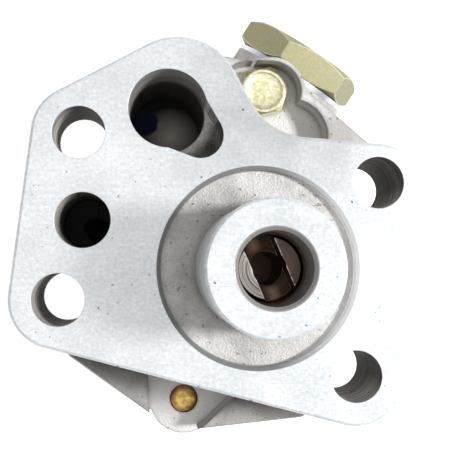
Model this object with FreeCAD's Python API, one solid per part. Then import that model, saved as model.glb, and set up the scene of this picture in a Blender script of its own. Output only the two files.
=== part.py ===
import FreeCAD, Part
import math
import os

# Engine oil pump with a slotted drive shaft, two spur gears and a relief valve.
# Millimetres. The origin is where the shaft axis crosses the machined flange face,
# +Z runs along the shaft out of the snout, and the rear cover is at the bottom.

V = FreeCAD.Vector

# Driving sizes of the machined front
SNOUT_WALL = 7.0
SNOUT_TOP = 31.0
SNOUT_FOOT_FILLET = 2.5
RECESS_R = 24.6
RECESS_DEPTH = 3.0
EDGE_BREAK = 0.6
CAST_EDGE = 1.8
PLATE_THICK = 14.0
EAR_BOSS_Z = -28.0
SHORT_EAR_BOSS_Z = -21.5
MOUNT_HOLE_R = 6.3

# Levels of the castings, from front to back
PLATFORM_Z = -36.0
PAD_Z = -45.3
SPLIT_Z = -56.0
GASKET = 0.3
BODY_FRONT_Z = SPLIT_Z - GASKET
BODY_FLANGE = 10.0
GEAR_SIDE_GAP = 0.1
GEAR_WIDTH = 33.4
BODY_BACK_Z = BODY_FRONT_Z - GEAR_WIDTH - 2 * GEAR_SIDE_GAP
COVER_FRONT_Z = BODY_BACK_Z - GASKET
COVER_THICK = 9.0
COVER_BACK_Z = COVER_FRONT_Z - COVER_THICK

# Fits
RUNNING_GAP = 0.03
THREAD_GAP = 0.05
BOLT_GAP = 0.3
POCKET_GAP = 0.2

# Drive shaft and its bearings
SHAFT_R = 7.47
SHAFT_TOP = 18.9
SHAFT_TAIL_R = 6.47
BUSH_WALL = 2.0
BORE_MOUTH_R = 8.0
SNOUT_R = BORE_MOUTH_R + SNOUT_WALL
BORE_CHAMFER = 0.8
BUSH_TOP = SHAFT_TOP + 0.5
MIDDLE_BORE_R = SHAFT_R + RUNNING_GAP + BUSH_WALL
FRONT_BUSH_LEN = 20.0
MIDDLE_BUSH_LEN = 20.0
SLOT_WIDTH = 7.2
SLOT_DEPTH = 7.0
SLOT_ANGLE = -66.8
SHAFT_HOLE_R = 3.8
SHAFT_HOLE_DEPTH = 24.0

# Gears
MODULE = 2.25
TEETH = 11
PRESSURE_ANGLE = math.radians(25.0)
BACKLASH = 0.12
PITCH_R = MODULE * TEETH / 2.0
TIP_R = PITCH_R + MODULE
ROOT_R = PITCH_R - 1.2 * MODULE
POCKET_R = TIP_R + POCKET_GAP
CENTRES = 2 * PITCH_R
IDLER_ANGLE = math.radians(155.0)
IDLER = (CENTRES * math.cos(IDLER_ANGLE), CENTRES * math.sin(IDLER_ANGLE))
IDLER_PIN_R = 5.0
IDLER_PIN_DEPTH = 12.0
IDLER_BUSH_R = 6.6
KEY_WIDTH = 3.0
KEY_LENGTH = 16.0
KEY_OUT = 1.2
KEY_IN = 1.4

# Holes of the flange: centre x, y and the radius of the ear round it
EARS = {
    "upper_left": (-43.2, 32.3, 11.3),
    "lower_left": (-47.8, -7.5, 11.7),
    "lower_right": (23.6, -26.2, 12.0),
    "upper_right": (29.3, 20.8, 9.4),
}
OIL_HOLE = (-42.2, 11.4)
OIL_HOLE_R = 6.65
OIL_HOLE_DEPTH = 30.0
PORT = (-22.0, 38.4)
PORT_R = 9.5
PORT_DEPTH = 44.0
PORT_WALL = 3.0
PORT_SLOT = [(-19.2, 36.2, 7.8), (-14.2, 32.0, 5.6)]
PORT_SLOT_DEPTH = 12.0

# Bolts that hold the castings together
BOLT_R = 4.0
BOLT_HEAD_FLATS = 13.0
BOLT_HEAD_HEIGHT = 5.3
BOLT_HEAD_TURN = 13.0
FRONT_BOLT = (6.2, 50.5)
FRONT_BOLT_REACH = 19.0
REAR_BOLTS = [(-16.4, -37.5), (25.5, -1.0), (-44.0, 11.0)]
REAR_BOLT_TIP_Z = PAD_Z + 0.9
FRONT_PAD = [(7.9, 49.8, 8.6), (2.0, 49.5, 9.0)]
FRONT_PAD_RIM = 1.0
FRONT_PAD_CURVE = (13.5, 37.2, 10.5)
REAR_PAD = [(-18.2, -37.6, 8.4), (-15.2, -38.6, 6.7), (-6.5, -30.4, 6.7), (-22.6, -29.0, 4.0)]
REAR_BOSS_R = 9.8
LUG_R = 7.4
DOWELS = [(-34.0, -24.0), (24.0, 37.5)]
DOWEL_R = 3.0
DOWEL_REACH = 6.0

# Relief valve: its axis leaves the body VALVE_ANGLE from +X and rises by VALVE_RISE
VALVE_ANGLE = math.radians(57.5)
VALVE_RISE = math.radians(10.8)
VALVE_HEIGHT = 16.27
VALVE_SEAT = (18.51, 60.47, BODY_BACK_Z + VALVE_HEIGHT)
VALVE_BOSS_R = 19.0
VALVE_BOSS_END_R = 12.0
VALVE_COLLAR = 4.0
VALVE_BORE_R = 7.0
VALVE_BORE_DEPTH = 38.0
VALVE_NOSE_R = 2.4
VALVE_NOSE_DEPTH = 41.0
PLUG_FLATS = 36.0
PLUG_HEX_THICK = 8.9
PLUG_THREAD_R = 11.0
PLUG_THREAD_LEN = 11.0
PLUG_CUP_R = 5.6
PLUG_CUP_FLOOR = -2.0
PLUG_TURN = -18.3
WASHER_R = 18.4
WASHER_THICK = 1.6
SHIM_THICK = 1.0
PISTON_LEN = 13.0
PISTON_CUP_R = 5.0
PISTON_HEAD = 3.0
SPILL_AT = -33.5
SPILL_LIFT = 4.4
SPILL_R = 2.0
SPRING_R = 4.0
SPRING_WIRE_R = 0.6
SPRING_TURNS = 9

# Oil passages
MESH_SIDE = 13.0
INLET_R = 5.5
OUTLET_R = 5.0
GALLERY_R = 2.2
GALLERY_Z = COVER_FRONT_Z - 4.6


def prism(face, z0, z1):
    """A flat face at z = 0 becomes a solid between two heights."""
    face = face.copy()
    face.translate(V(0, 0, z0))
    return face.extrude(V(0, 0, z1 - z0))


def cyl(x, y, z0, z1, r):
    return Part.makeCylinder(r, abs(z1 - z0), V(x, y, min(z0, z1)))


def cone(x, y, z0, z1, r0, r1):
    return Part.makeCone(r0, r1, z1 - z0, V(x, y, z0)) if z1 > z0 else Part.makeCone(
        r1, r0, z0 - z1, V(x, y, z1)
    )


def rod(start, end, r):
    """A cylinder between two points in space."""
    a, b = V(*start), V(*end)
    return Part.makeCylinder(r, (b - a).Length, a, b - a)


def join(shapes):
    first = shapes[0]
    return first.fuse(shapes[1:]).removeSplitter() if len(shapes) > 1 else first


def belt(circles, inset=0.0, z=0.0):
    """A closed outline like a belt round pulleys, in anticlockwise order.

    Each pulley is x, y, r. A pulley with a negative r lies outside and the belt
    bends in round it. inset moves the whole outline inwards."""
    n = len(circles)
    c = [(x, y, r - inset) for x, y, r in circles]
    leave = []
    arrive = [None] * n
    for i in range(n):
        (x1, y1, r1), (x2, y2, r2) = c[i], c[(i + 1) % n]
        dx, dy = x2 - x1, y2 - y1
        length2 = dx * dx + dy * dy
        a = math.sqrt(length2 - (r2 - r1) ** 2)
        b = r1 - r2
        ux = (a * dx - b * dy) / length2
        uy = (a * dy + b * dx) / length2
        leave.append((x1 + r1 * uy, y1 - r1 * ux))
        arrive[(i + 1) % n] = (x2 + r2 * uy, y2 - r2 * ux)
    edges = []
    for i in range(n):
        x, y, r = c[i]
        p, q = arrive[i], leave[i]
        t0 = math.atan2(p[1] - y, p[0] - x)
        t1 = math.atan2(q[1] - y, q[0] - x)
        if r > 0 and t1 < t0:
            t1 += 2 * math.pi
        if r < 0 and t1 > t0:
            t1 -= 2 * math.pi
        t = (t0 + t1) / 2
        mid = V(x + abs(r) * math.cos(t), y + abs(r) * math.sin(t), z)
        edges.append(Part.Arc(V(p[0], p[1], z), mid, V(q[0], q[1], z)).toShape())
        s = arrive[(i + 1) % n]
        edges.append(Part.makeLine(V(q[0], q[1], z), V(s[0], s[1], z)))
    return Part.Wire(edges)


def plate(circles, z0, z1, edge=0.0):
    """A belt-shaped plate from z0 up to z1, its front edge broken by edge."""
    top = z1 - edge
    solid = prism(Part.Face(belt(circles)), z0, top)
    if edge:
        rim = Part.makeLoft([belt(circles, 0, top), belt(circles, edge, z1)], True, True)
        solid = solid.fuse(rim)
    return solid


def cast_plate(circles, z0, z1, edge):
    """The same with a rounded front edge, in two slopes."""
    bend = edge * (1 - math.sqrt(0.5))
    levels = [(z1 - edge, 0.0), (z1 - bend, bend), (z1, edge)]
    solids = [prism(Part.Face(belt(circles)), z0, z1 - edge)]
    for (za, a), (zb, b) in zip(levels, levels[1:]):
        solids.append(Part.makeLoft([belt(circles, a, za), belt(circles, b, zb)], True, True))
    return join(solids)


def tapered(circles, z0, z1, draft):
    """A cast wall from z0 up to z1 that narrows by draft on the way up."""
    return Part.makeLoft([belt(circles, 0, z0), belt(circles, draft, z1)], True, True)


def hexagon(x, y, z0, z1, flats, turn):
    """A hexagonal bar, its corners at turn plus steps of 60 degrees."""
    r = flats / math.sqrt(3)
    pts = []
    for k in range(7):
        a = math.radians(turn + 60 * k)
        pts.append(V(x + r * math.cos(a), y + r * math.sin(a), z0))
    return Part.Face(Part.makePolygon(pts)).extrude(V(0, 0, z1 - z0))


def chamfered_head(x, y, z0, z1, flats, turn, both=False):
    """A hexagon whose corners are turned off at its top, or at both ends."""
    corner = flats / math.sqrt(3)
    rim = flats / 2 - 0.3
    drop = (corner - rim) * math.tan(math.radians(30))
    body = hexagon(x, y, z0, z1, flats, turn)
    upper = cone(x, y, z1 - drop, z1, corner, rim)
    if both:
        middle = cyl(x, y, z0 + drop, z1 - drop, corner)
        lower = cone(x, y, z0, z0 + drop, rim, corner)
        return body.common(join([lower, middle, upper]))
    return body.common(join([cyl(x, y, z0, z1 - drop, corner), upper]))


def bolt(x, y, seat_z, tip_z, turn):
    """A hexagon bolt: its head rests on seat_z and its tip ends at tip_z."""
    up = 1 if seat_z > tip_z else -1
    head = chamfered_head(0, 0, 0, BOLT_HEAD_HEIGHT, BOLT_HEAD_FLATS, turn)
    reach = abs(seat_z - tip_z)
    r = BOLT_R - THREAD_GAP
    shank = cyl(0, 0, -reach + 0.8, 0, r)
    tip = cone(0, 0, -reach, -reach + 0.8, r - 0.8, r)
    one = join([head, shank, tip])
    if up < 0:
        one.rotate(V(0, 0, 0), V(1, 0, 0), 180)
    one.translate(V(x, y, seat_z))
    return one


def gear_face(turn):
    """The outline of one spur gear as a face, with a tooth pointing along turn."""
    base_r = PITCH_R * math.cos(PRESSURE_ANGLE)
    inv = math.tan(PRESSURE_ANGLE) - PRESSURE_ANGLE
    half_pitch = (math.pi * MODULE / 2 - BACKLASH) / (2 * PITCH_R)
    start_r = max(base_r, ROOT_R)

    def flank(r):
        """Half the tooth's angle at radius r."""
        a = math.acos(min(1.0, base_r / r))
        return half_pitch + inv - (math.tan(a) - a)

    radii = [start_r + (TIP_R - start_r) * k / 4.0 for k in range(5)]
    edges = []
    step = 2 * math.pi / TEETH

    def at(r, a):
        return V(r * math.cos(a), r * math.sin(a), 0)

    for k in range(TEETH):
        m = turn + k * step
        low = flank(start_r)
        rise = [at(r, m - flank(r)) for r in radii]
        fall = [at(r, m + flank(r)) for r in reversed(radii)]
        up, down = Part.BSplineCurve(), Part.BSplineCurve()
        up.interpolate(rise)
        down.interpolate(fall)
        root_a = at(ROOT_R, m - low)
        root_b = at(ROOT_R, m + low)
        if (rise[0] - root_a).Length > 0.01:
            edges.append(Part.makeLine(root_a, rise[0]))
        edges.append(up.toShape())
        edges.append(Part.Arc(rise[-1], at(TIP_R, m), fall[0]).toShape())
        edges.append(down.toShape())
        if (fall[-1] - root_b).Length > 0.01:
            edges.append(Part.makeLine(fall[-1], root_b))
        gap_end = at(ROOT_R, m + step - low)
        edges.append(Part.Arc(root_b, at(ROOT_R, m + step / 2), gap_end).toShape())
    return Part.Face(Part.Wire(edges))


def along_valve(shape):
    """Lays a shape built on +Z at the origin along the relief valve's axis."""
    shape = shape.copy()
    shape.rotate(V(0, 0, 0), V(0, 1, 0), 90 - math.degrees(VALVE_RISE))
    shape.rotate(V(0, 0, 0), V(0, 0, 1), math.degrees(VALVE_ANGLE))
    shape.translate(V(*VALVE_SEAT))
    return shape


def valve_point(s, lift=0.0):
    """The point on the valve axis at distance s out of its seat, then raised."""
    level = s * math.cos(VALVE_RISE)
    x = VALVE_SEAT[0] + level * math.cos(VALVE_ANGLE)
    y = VALVE_SEAT[1] + level * math.sin(VALVE_ANGLE)
    return (x, y, VALVE_SEAT[2] + s * math.sin(VALVE_RISE) + lift)


def mesh_side(distance):
    """A point beside the gears' mesh, on the line square to their centres."""
    x, y = IDLER[0] / 2, IDLER[1] / 2
    return (
        x + distance * math.sin(IDLER_ANGLE),
        y - distance * math.cos(IDLER_ANGLE),
    )


INLET = mesh_side(MESH_SIDE)
OUTLET = mesh_side(-MESH_SIDE)

# Outlines. The flange is a belt round its ears that bends in beside the port.
ear = EARS
FLANGE = [
    (29.6, 20.5, 9.9),
    (12.2, 47.6, -15.8),
    (-19.5, 40.6, 15.3),
    ear["upper_left"],
    ear["lower_left"],
    ear["lower_right"],
]
TOOL_R = 10.4
PLATFORM = [
    (-16.9, -37.5, 7.7),
    (15.5, -39.1, 3.0),
    (ear["lower_right"][0], ear["lower_right"][1], -TOOL_R),
    (REAR_BOLTS[1][0], REAR_BOLTS[1][1], LUG_R),
    (ear["upper_right"][0], ear["upper_right"][1], -TOOL_R),
    (34.6, 33.2, 2.6),
    (7.0, 51.2, 6.6),
    (-8.0, 53.5, 6.5),
    (-20.0, 38.4, 12.0),
    (ear["upper_left"][0], ear["upper_left"][1], -TOOL_R),
    (REAR_BOLTS[2][0] + 0.6, REAR_BOLTS[2][1] + 0.4, LUG_R),
    (ear["lower_left"][0], ear["lower_left"][1], -TOOL_R),
    (-46.2, -22.3, 2.9),
]
COLUMN = [
    (0, 0, 21.0),
    (PORT[0], PORT[1], PORT_R + 4.3),
    (IDLER[0], IDLER[1], 18.4),
]
IDLER_WALL_R = POCKET_R + 3.6
DRIVE_WALL_R = POCKET_R + 4.6
FEED_BOSS = (-3.0, 27.0, 7.4)


def gear_case(z0, z1, grow=0.0):
    """The shape round both gears that the barrel, the gasket and the cover share."""
    drive = (0, 0, DRIVE_WALL_R + grow)
    idler = (IDLER[0], IDLER[1], IDLER_WALL_R + grow)
    solids = [plate([drive, idler], z0, z1)]
    lugs = [(x, y, LUG_R + grow) for x, y in REAR_BOLTS]
    feed = (FEED_BOSS[0], FEED_BOSS[1], FEED_BOSS[2] + grow)
    for lug, hub in ((lugs[0], drive), (lugs[1], drive), (lugs[2], idler), (feed, drive)):
        near = (hub[0], hub[1], lug[2] + 3.0)
        solids.append(plate([near, lug], z0, z1))
    return join(solids)


def front_cuts():
    """Every hole and pocket of the front casting, as one list of solids to cut."""
    x, y = REAR_BOLTS[0]
    cuts = [
        # The recess round the snout, with a broken edge.
        cyl(0, 0, -RECESS_DEPTH, 1, RECESS_R - 0.8),
        cone(0, 0, -1.0, 0, RECESS_R - 0.8, RECESS_R),
        # Bore for the shaft and the middle bush.
        cyl(0, 0, SPLIT_Z - 1, 1, SHAFT_R + 0.6),
        cyl(0, 0, SPLIT_Z - 1, SPLIT_Z + MIDDLE_BUSH_LEN, MIDDLE_BORE_R),
        # The front bush's seat, for a bush long enough to reach below the snout.
        cyl(0, 0, BUSH_TOP - FRONT_BUSH_LEN, BUSH_TOP, SHAFT_R + RUNNING_GAP + BUSH_WALL),
        # The blind oil hole and its drilled way from the gears' outlet side.
        cyl(OIL_HOLE[0], OIL_HOLE[1], -OIL_HOLE_DEPTH, 1, OIL_HOLE_R),
        rod(
            (OIL_HOLE[0], OIL_HOLE[1], -OIL_HOLE_DEPTH + 3),
            (OUTLET[0], OUTLET[1], SPLIT_Z - 1),
            3.2,
        ),
        # The port, its shallow slot, and the way down to the gears' inlet side.
        cyl(PORT[0], PORT[1], -PORT_DEPTH, 1, PORT_R),
        prism(Part.Face(belt(PORT_SLOT)), -PORT_SLOT_DEPTH, 1),
        prism(
            Part.Face(belt([(PORT[0], PORT[1], INLET_R), (INLET[0], INLET[1], INLET_R)])),
            -PORT_DEPTH,
            PLATFORM_Z + 2,
        ),
        cyl(INLET[0], INLET[1], SPLIT_Z - 1, PLATFORM_Z, INLET_R),
        # Sunk pads for the bolts; the upper one runs on in a second curve.
        prism(Part.Face(belt(FRONT_PAD)), PAD_Z, PLATFORM_Z + 1),
        cyl(FRONT_PAD_CURVE[0], FRONT_PAD_CURVE[1], PAD_Z, PLATFORM_Z, FRONT_PAD_CURVE[2]),
        prism(Part.Face(belt(REAR_PAD)), PAD_Z, PLATFORM_Z),
        # A clearance hole for the front bolt.
        cyl(FRONT_BOLT[0], FRONT_BOLT[1], SPLIT_Z - 1, PAD_Z, BOLT_R + BOLT_GAP),
        cyl(IDLER[0], IDLER[1], SPLIT_Z - 1, SPLIT_Z + IDLER_PIN_DEPTH, IDLER_PIN_R),
    ]
    for name, (x, y, r) in EARS.items():
        cuts.append(cyl(x, y, -PLATE_THICK - 30, 1, MOUNT_HOLE_R))
        # The spot-facing tool leaves room for the mounting bolt's head.
        cuts.append(cyl(x, y, PLATFORM_Z, ear_back(name), TOOL_R))
    for x, y in REAR_BOLTS:
        cuts.append(cyl(x, y, SPLIT_Z - 1, PAD_Z + 1.4, BOLT_R))
    for x, y in DOWELS:
        cuts.append(cyl(x, y, SPLIT_Z - 1, SPLIT_Z + DOWEL_REACH, DOWEL_R))
    return cuts


def ear_back(name):
    return SHORT_EAR_BOSS_Z if name == "upper_left" else EAR_BOSS_Z


def cut_front(body):
    for c in front_cuts():
        body = body.cut(c)
    return body


def column():
    """The pillar round the shaft, the port and the idler, with a cast taper."""
    return tapered(COLUMN, PLATFORM_Z, -PLATE_THICK, 1.0)


# The front casting is one piece on the pump: flange, column, platform, port foot
# and snout. It is five solids here, set face to face, so that each keeps a simple
# form and the space between them and round the snout stays free.


def front_flange():
    """The machined flange with its ears, their ribs and the oil hole's boss."""
    solids = [plate(FLANGE, -PLATE_THICK, 0, EDGE_BREAK)]
    for name, (x, y, r) in EARS.items():
        back = ear_back(name)
        solids.append(cone(x, y, back, -PLATE_THICK, r - 1.8, r - 0.6))
        # A rib ties the ear's boss to the column.
        reach = math.hypot(x, y)
        side = 3.0
        rib = Part.makeBox(reach - 6, 2 * side, -PLATE_THICK - back, V(0, -side, back))
        rib.rotate(V(0, 0, 0), V(0, 0, 1), math.degrees(math.atan2(y, x)))
        solids.append(rib)
    solids.append(cyl(OIL_HOLE[0], OIL_HOLE[1], PLATFORM_Z, -PLATE_THICK, OIL_HOLE_R + 3.5))
    return cut_front(join(solids).cut(column()))


def front_column():
    return cut_front(column())


def port_corner():
    """The room that the port's end and its floor take up in the platform."""
    reach = PORT_R + PORT_WALL
    height = PLATFORM_Z - SPLIT_Z
    low = V(PORT[0] - reach, PORT[1] - reach, SPLIT_Z)
    return Part.makeBox(2 * reach, 4 * reach, height, low)


def rear_boss(z0, z1):
    """The round boss that takes the lowest of the rear bolts."""
    return cyl(REAR_BOLTS[0][0], REAR_BOLTS[0][1], z0, z1, REAR_BOSS_R)


def whole_platform():
    x, y, r = FRONT_PAD[0]
    rim = cyl(x, y, SPLIT_Z, PLATFORM_Z, r + FRONT_PAD_RIM)
    boss = rear_boss(SPLIT_Z, PAD_Z)
    return cut_front(join([cast_plate(PLATFORM, SPLIT_Z, PLATFORM_Z, CAST_EDGE), rim, boss]))


def front_platform():
    """The plate that the pump body bolts to, with the sunk pads for the bolts."""
    return whole_platform().cut(port_corner())


def front_port_foot():
    """The block of the platform that closes the large port."""
    return whole_platform().common(port_corner())


def front_snout():
    """The turned collar on a rounded foot that the engine's pilot bore slides over."""
    foot = SNOUT_R + SNOUT_FOOT_FILLET
    low = -RECESS_DEPTH
    bend = SNOUT_FOOT_FILLET * (1 - math.sqrt(0.5))
    rim = 0.5
    arc = Part.Arc(
        V(foot, 0, low),
        V(SNOUT_R + bend, 0, low + bend),
        V(SNOUT_R, 0, low + SNOUT_FOOT_FILLET),
    ).toShape()
    pts = [
        V(SNOUT_R, 0, low + SNOUT_FOOT_FILLET),
        V(SNOUT_R, 0, SNOUT_TOP - rim),
        V(SNOUT_R - rim, 0, SNOUT_TOP),
        V(0, 0, SNOUT_TOP),
        V(0, 0, low),
        V(foot, 0, low),
    ]
    lines = [Part.makeLine(pts[i], pts[i + 1]) for i in range(len(pts) - 1)]
    section = Part.Face(Part.Wire([arc] + lines))
    body = section.revolve(V(0, 0, 0), V(0, 0, 1), 360)
    mouth = BORE_MOUTH_R
    cuts = [
        cyl(0, 0, BUSH_TOP, SNOUT_TOP + 1, mouth),
        cone(0, 0, SNOUT_TOP - BORE_CHAMFER, SNOUT_TOP, mouth, mouth + BORE_CHAMFER),
        cyl(0, 0, BUSH_TOP - FRONT_BUSH_LEN, BUSH_TOP, SHAFT_R + RUNNING_GAP + BUSH_WALL),
        cyl(0, 0, low - 1, BUSH_TOP, SHAFT_R + 0.6),
    ]
    for c in cuts:
        body = body.cut(c)
    return body


def pump_body():
    """Casting behind the housing, with the gear pockets and the relief valve."""
    solids = [
        plate(PLATFORM, BODY_FRONT_Z - BODY_FLANGE, BODY_FRONT_Z),
        rear_boss(BODY_FRONT_Z - BODY_FLANGE, BODY_FRONT_Z),
        gear_case(BODY_BACK_Z, BODY_FRONT_Z - BODY_FLANGE),
    ]
    boss_end = -VALVE_NOSE_DEPTH - 3
    boss = along_valve(cone(0, 0, boss_end, -VALVE_COLLAR, VALVE_BOSS_END_R, VALVE_BOSS_R - 0.5))
    room = Part.makeBox(200, 200, 100, V(-100, -100, BODY_FRONT_Z - 100))
    collar = along_valve(cyl(0, 0, -VALVE_COLLAR, 0, VALVE_BOSS_R))
    solids.append(boss.common(room))
    solids.append(collar)
    body = join(solids)
    # The boss is flattened level with the cover's joint where the cover lies on it.
    cover_room = gear_case(COVER_BACK_Z - 10, BODY_BACK_Z, 1.0)

    cuts = [cover_room]
    for x, y in ((0, 0), IDLER):
        cuts.append(cyl(x, y, BODY_BACK_Z - 1, BODY_FRONT_Z + 1, POCKET_R))
    cuts.append(cyl(INLET[0], INLET[1], BODY_BACK_Z - 1, BODY_FRONT_Z + 1, INLET_R))
    cuts.append(cyl(OUTLET[0], OUTLET[1], BODY_BACK_Z - 1, BODY_FRONT_Z + 1, OUTLET_R))
    # Relief valve: thread, piston bore, nose hole, feed and spill.
    cuts.append(along_valve(cyl(0, 0, -PLUG_THREAD_LEN - 1, 1, PLUG_THREAD_R)))
    cuts.append(along_valve(cyl(0, 0, -VALVE_BORE_DEPTH, 0, VALVE_BORE_R)))
    cuts.append(along_valve(cyl(0, 0, -VALVE_NOSE_DEPTH, 0, VALVE_NOSE_R)))
    fx, fy, fz = valve_point(-VALVE_NOSE_DEPTH)
    cuts.append(cyl(fx, fy, BODY_BACK_Z - 1, fz, VALVE_NOSE_R))
    spill = valve_point(SPILL_AT, SPILL_LIFT)
    cuts.append(rod(spill, (INLET[0], INLET[1], spill[2]), SPILL_R))
    # Fasteners.
    thread_end = PAD_Z - FRONT_BOLT_REACH - 0.5
    cuts.append(cyl(FRONT_BOLT[0], FRONT_BOLT[1], thread_end, BODY_FRONT_Z + 1, BOLT_R))
    for x, y in REAR_BOLTS:
        cuts.append(cyl(x, y, BODY_BACK_Z - 1, BODY_FRONT_Z + 1, BOLT_R + BOLT_GAP))
    for x, y in DOWELS:
        cuts.append(cyl(x, y, SPLIT_Z - DOWEL_REACH, BODY_FRONT_Z + 1, DOWEL_R))
    for c in cuts:
        body = body.cut(c)
    return body


def rear_cover():
    """Plate that closes the gear pockets and carries the relief feed."""
    body = gear_case(COVER_BACK_Z, COVER_FRONT_Z)
    bush_r = SHAFT_TAIL_R + RUNNING_GAP + BUSH_WALL
    hub = cone(0, 0, COVER_BACK_Z - 3, COVER_BACK_Z, 11.0, 12.5)
    body = body.fuse(hub)
    fx, fy, fz = valve_point(-VALVE_NOSE_DEPTH)
    dx, dy = fx - OUTLET[0], fy - OUTLET[1]
    far = 1.6
    start = (OUTLET[0], OUTLET[1], GALLERY_Z)
    end = (OUTLET[0] + dx * far, OUTLET[1] + dy * far, GALLERY_Z)
    cuts = [
        cyl(0, 0, COVER_BACK_Z, COVER_FRONT_Z + 1, bush_r),
        cyl(IDLER[0], IDLER[1], COVER_BACK_Z + 3, COVER_FRONT_Z + 1, IDLER_PIN_R),
        rod(start, end, GALLERY_R),
        cyl(OUTLET[0], OUTLET[1], GALLERY_Z, COVER_FRONT_Z + 1, VALVE_NOSE_R),
        cyl(fx, fy, GALLERY_Z, COVER_FRONT_Z + 1, VALVE_NOSE_R),
    ]
    for x, y in REAR_BOLTS:
        cuts.append(cyl(x, y, COVER_BACK_Z - 1, COVER_FRONT_Z + 1, BOLT_R + BOLT_GAP))
    for c in cuts:
        body = body.cut(c)
    return body.removeSplitter()


def gallery_plug():
    """Cup plug pressed in where the cover's relief feed was drilled."""
    fx, fy, fz = valve_point(-VALVE_NOSE_DEPTH)
    dx, dy = fx - OUTLET[0], fy - OUTLET[1]
    length = math.hypot(dx, dy)
    ux, uy = dx / length, dy / length
    # The cover's rim lies 7.4 from the pulley that holds the feed.
    px, py, r = FEED_BOSS
    rim = (px - fx) * ux + (py - fy) * uy + r
    a = (fx + ux * (rim - 4.0), fy + uy * (rim - 4.0), GALLERY_Z)
    b = (fx + ux * (rim - 0.6), fy + uy * (rim - 0.6), GALLERY_Z)
    return rod(a, b, GALLERY_R)


def body_gasket():
    sheet = plate(PLATFORM, BODY_FRONT_Z, SPLIT_Z)
    low, high = BODY_FRONT_Z - 1, SPLIT_Z + 1
    cuts = [
        cyl(0, 0, low, high, POCKET_R + 0.3),
        cyl(IDLER[0], IDLER[1], low, high, POCKET_R + 0.3),
        cyl(INLET[0], INLET[1], low, high, INLET_R + 0.3),
        cyl(OUTLET[0], OUTLET[1], low, high, OUTLET_R + 0.3),
    ]
    for x, y in REAR_BOLTS + [FRONT_BOLT]:
        cuts.append(cyl(x, y, low, high, BOLT_R + BOLT_GAP + 0.3))
    for x, y in DOWELS:
        cuts.append(cyl(x, y, low, high, DOWEL_R + 0.3))
    for c in cuts:
        sheet = sheet.cut(c)
    return sheet


def cover_gasket():
    sheet = gear_case(COVER_FRONT_Z, BODY_BACK_Z)
    low, high = COVER_FRONT_Z - 1, BODY_BACK_Z + 1
    fx, fy, fz = valve_point(-VALVE_NOSE_DEPTH)
    cuts = [
        cyl(0, 0, low, high, POCKET_R + 0.3),
        cyl(IDLER[0], IDLER[1], low, high, POCKET_R + 0.3),
        cyl(INLET[0], INLET[1], low, high, INLET_R + 0.3),
        cyl(OUTLET[0], OUTLET[1], low, high, OUTLET_R + 0.3),
        cyl(fx, fy, low, high, VALVE_NOSE_R + 0.3),
    ]
    for x, y in REAR_BOLTS:
        cuts.append(cyl(x, y, low, high, BOLT_R + BOLT_GAP + 0.3))
    for c in cuts:
        sheet = sheet.cut(c)
    return sheet


def ring(x, y, z0, z1, r_in, r_out):
    return cyl(x, y, z0, z1, r_out).cut(cyl(x, y, z0, z1, r_in))


def drive_shaft():
    """Shaft with a slotted, drilled front end and a smaller tail for the gear."""
    front = cyl(0, 0, BODY_FRONT_Z, SHAFT_TOP - 0.6, SHAFT_R)
    lead = cone(0, 0, SHAFT_TOP - 0.6, SHAFT_TOP, SHAFT_R, SHAFT_R - 0.6)
    tail = cyl(0, 0, COVER_BACK_Z + 1, BODY_FRONT_Z, SHAFT_TAIL_R)
    body = join([front, lead, tail])
    hole = cyl(0, 0, SHAFT_TOP - SHAFT_HOLE_DEPTH, SHAFT_TOP + 1, SHAFT_HOLE_R)
    # The slot's floor is hollow, as a side cutter leaves it.
    half = SLOT_WIDTH / 2
    cutter_r = 26.0
    cutter = Part.makeCylinder(cutter_r, SLOT_WIDTH, V(0, half, 0), V(0, -1, 0))
    cutter.translate(V(0, 0, SHAFT_TOP - SLOT_DEPTH + cutter_r))
    cutter.rotate(V(0, 0, 0), V(0, 0, 1), SLOT_ANGLE)
    keyway = Part.makeBox(
        KEY_IN + 1, KEY_WIDTH, KEY_LENGTH, V(SHAFT_TAIL_R - KEY_IN, -KEY_WIDTH / 2, key_bottom())
    )
    return body.cut(hole).cut(cutter).cut(turned_to_tooth(keyway))


def key_bottom():
    return BODY_FRONT_Z - GEAR_WIDTH / 2 - KEY_LENGTH / 2


def turned_to_tooth(shape):
    """Turns a shape from +X to the middle of the tooth that meets the idler."""
    shape.rotate(V(0, 0, 0), V(0, 0, 1), math.degrees(IDLER_ANGLE))
    return shape


def drive_key():
    tall = KEY_IN + KEY_OUT
    key = Part.makeBox(
        tall, KEY_WIDTH, KEY_LENGTH, V(SHAFT_TAIL_R - KEY_IN, -KEY_WIDTH / 2, key_bottom())
    )
    return turned_to_tooth(key)


def gear(turn, bore_r):
    z1 = BODY_FRONT_Z - GEAR_SIDE_GAP
    solid = prism(gear_face(turn), z1 - GEAR_WIDTH, z1)
    return solid.cut(cyl(0, 0, z1 - GEAR_WIDTH - 1, z1 + 1, bore_r))


def drive_gear():
    z1 = BODY_FRONT_Z - GEAR_SIDE_GAP
    keyway = Part.makeBox(
        SHAFT_TAIL_R + KEY_OUT, KEY_WIDTH, GEAR_WIDTH + 2, V(0, -KEY_WIDTH / 2, z1 - GEAR_WIDTH - 1)
    )
    return gear(IDLER_ANGLE, SHAFT_TAIL_R).cut(turned_to_tooth(keyway))


def idler_gear():
    """The idler meets the drive gear with a gap, half a tooth round."""
    turn = IDLER_ANGLE + math.pi + math.pi / TEETH
    solid = gear(turn, IDLER_BUSH_R)
    solid.translate(V(IDLER[0], IDLER[1], 0))
    return solid


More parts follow.
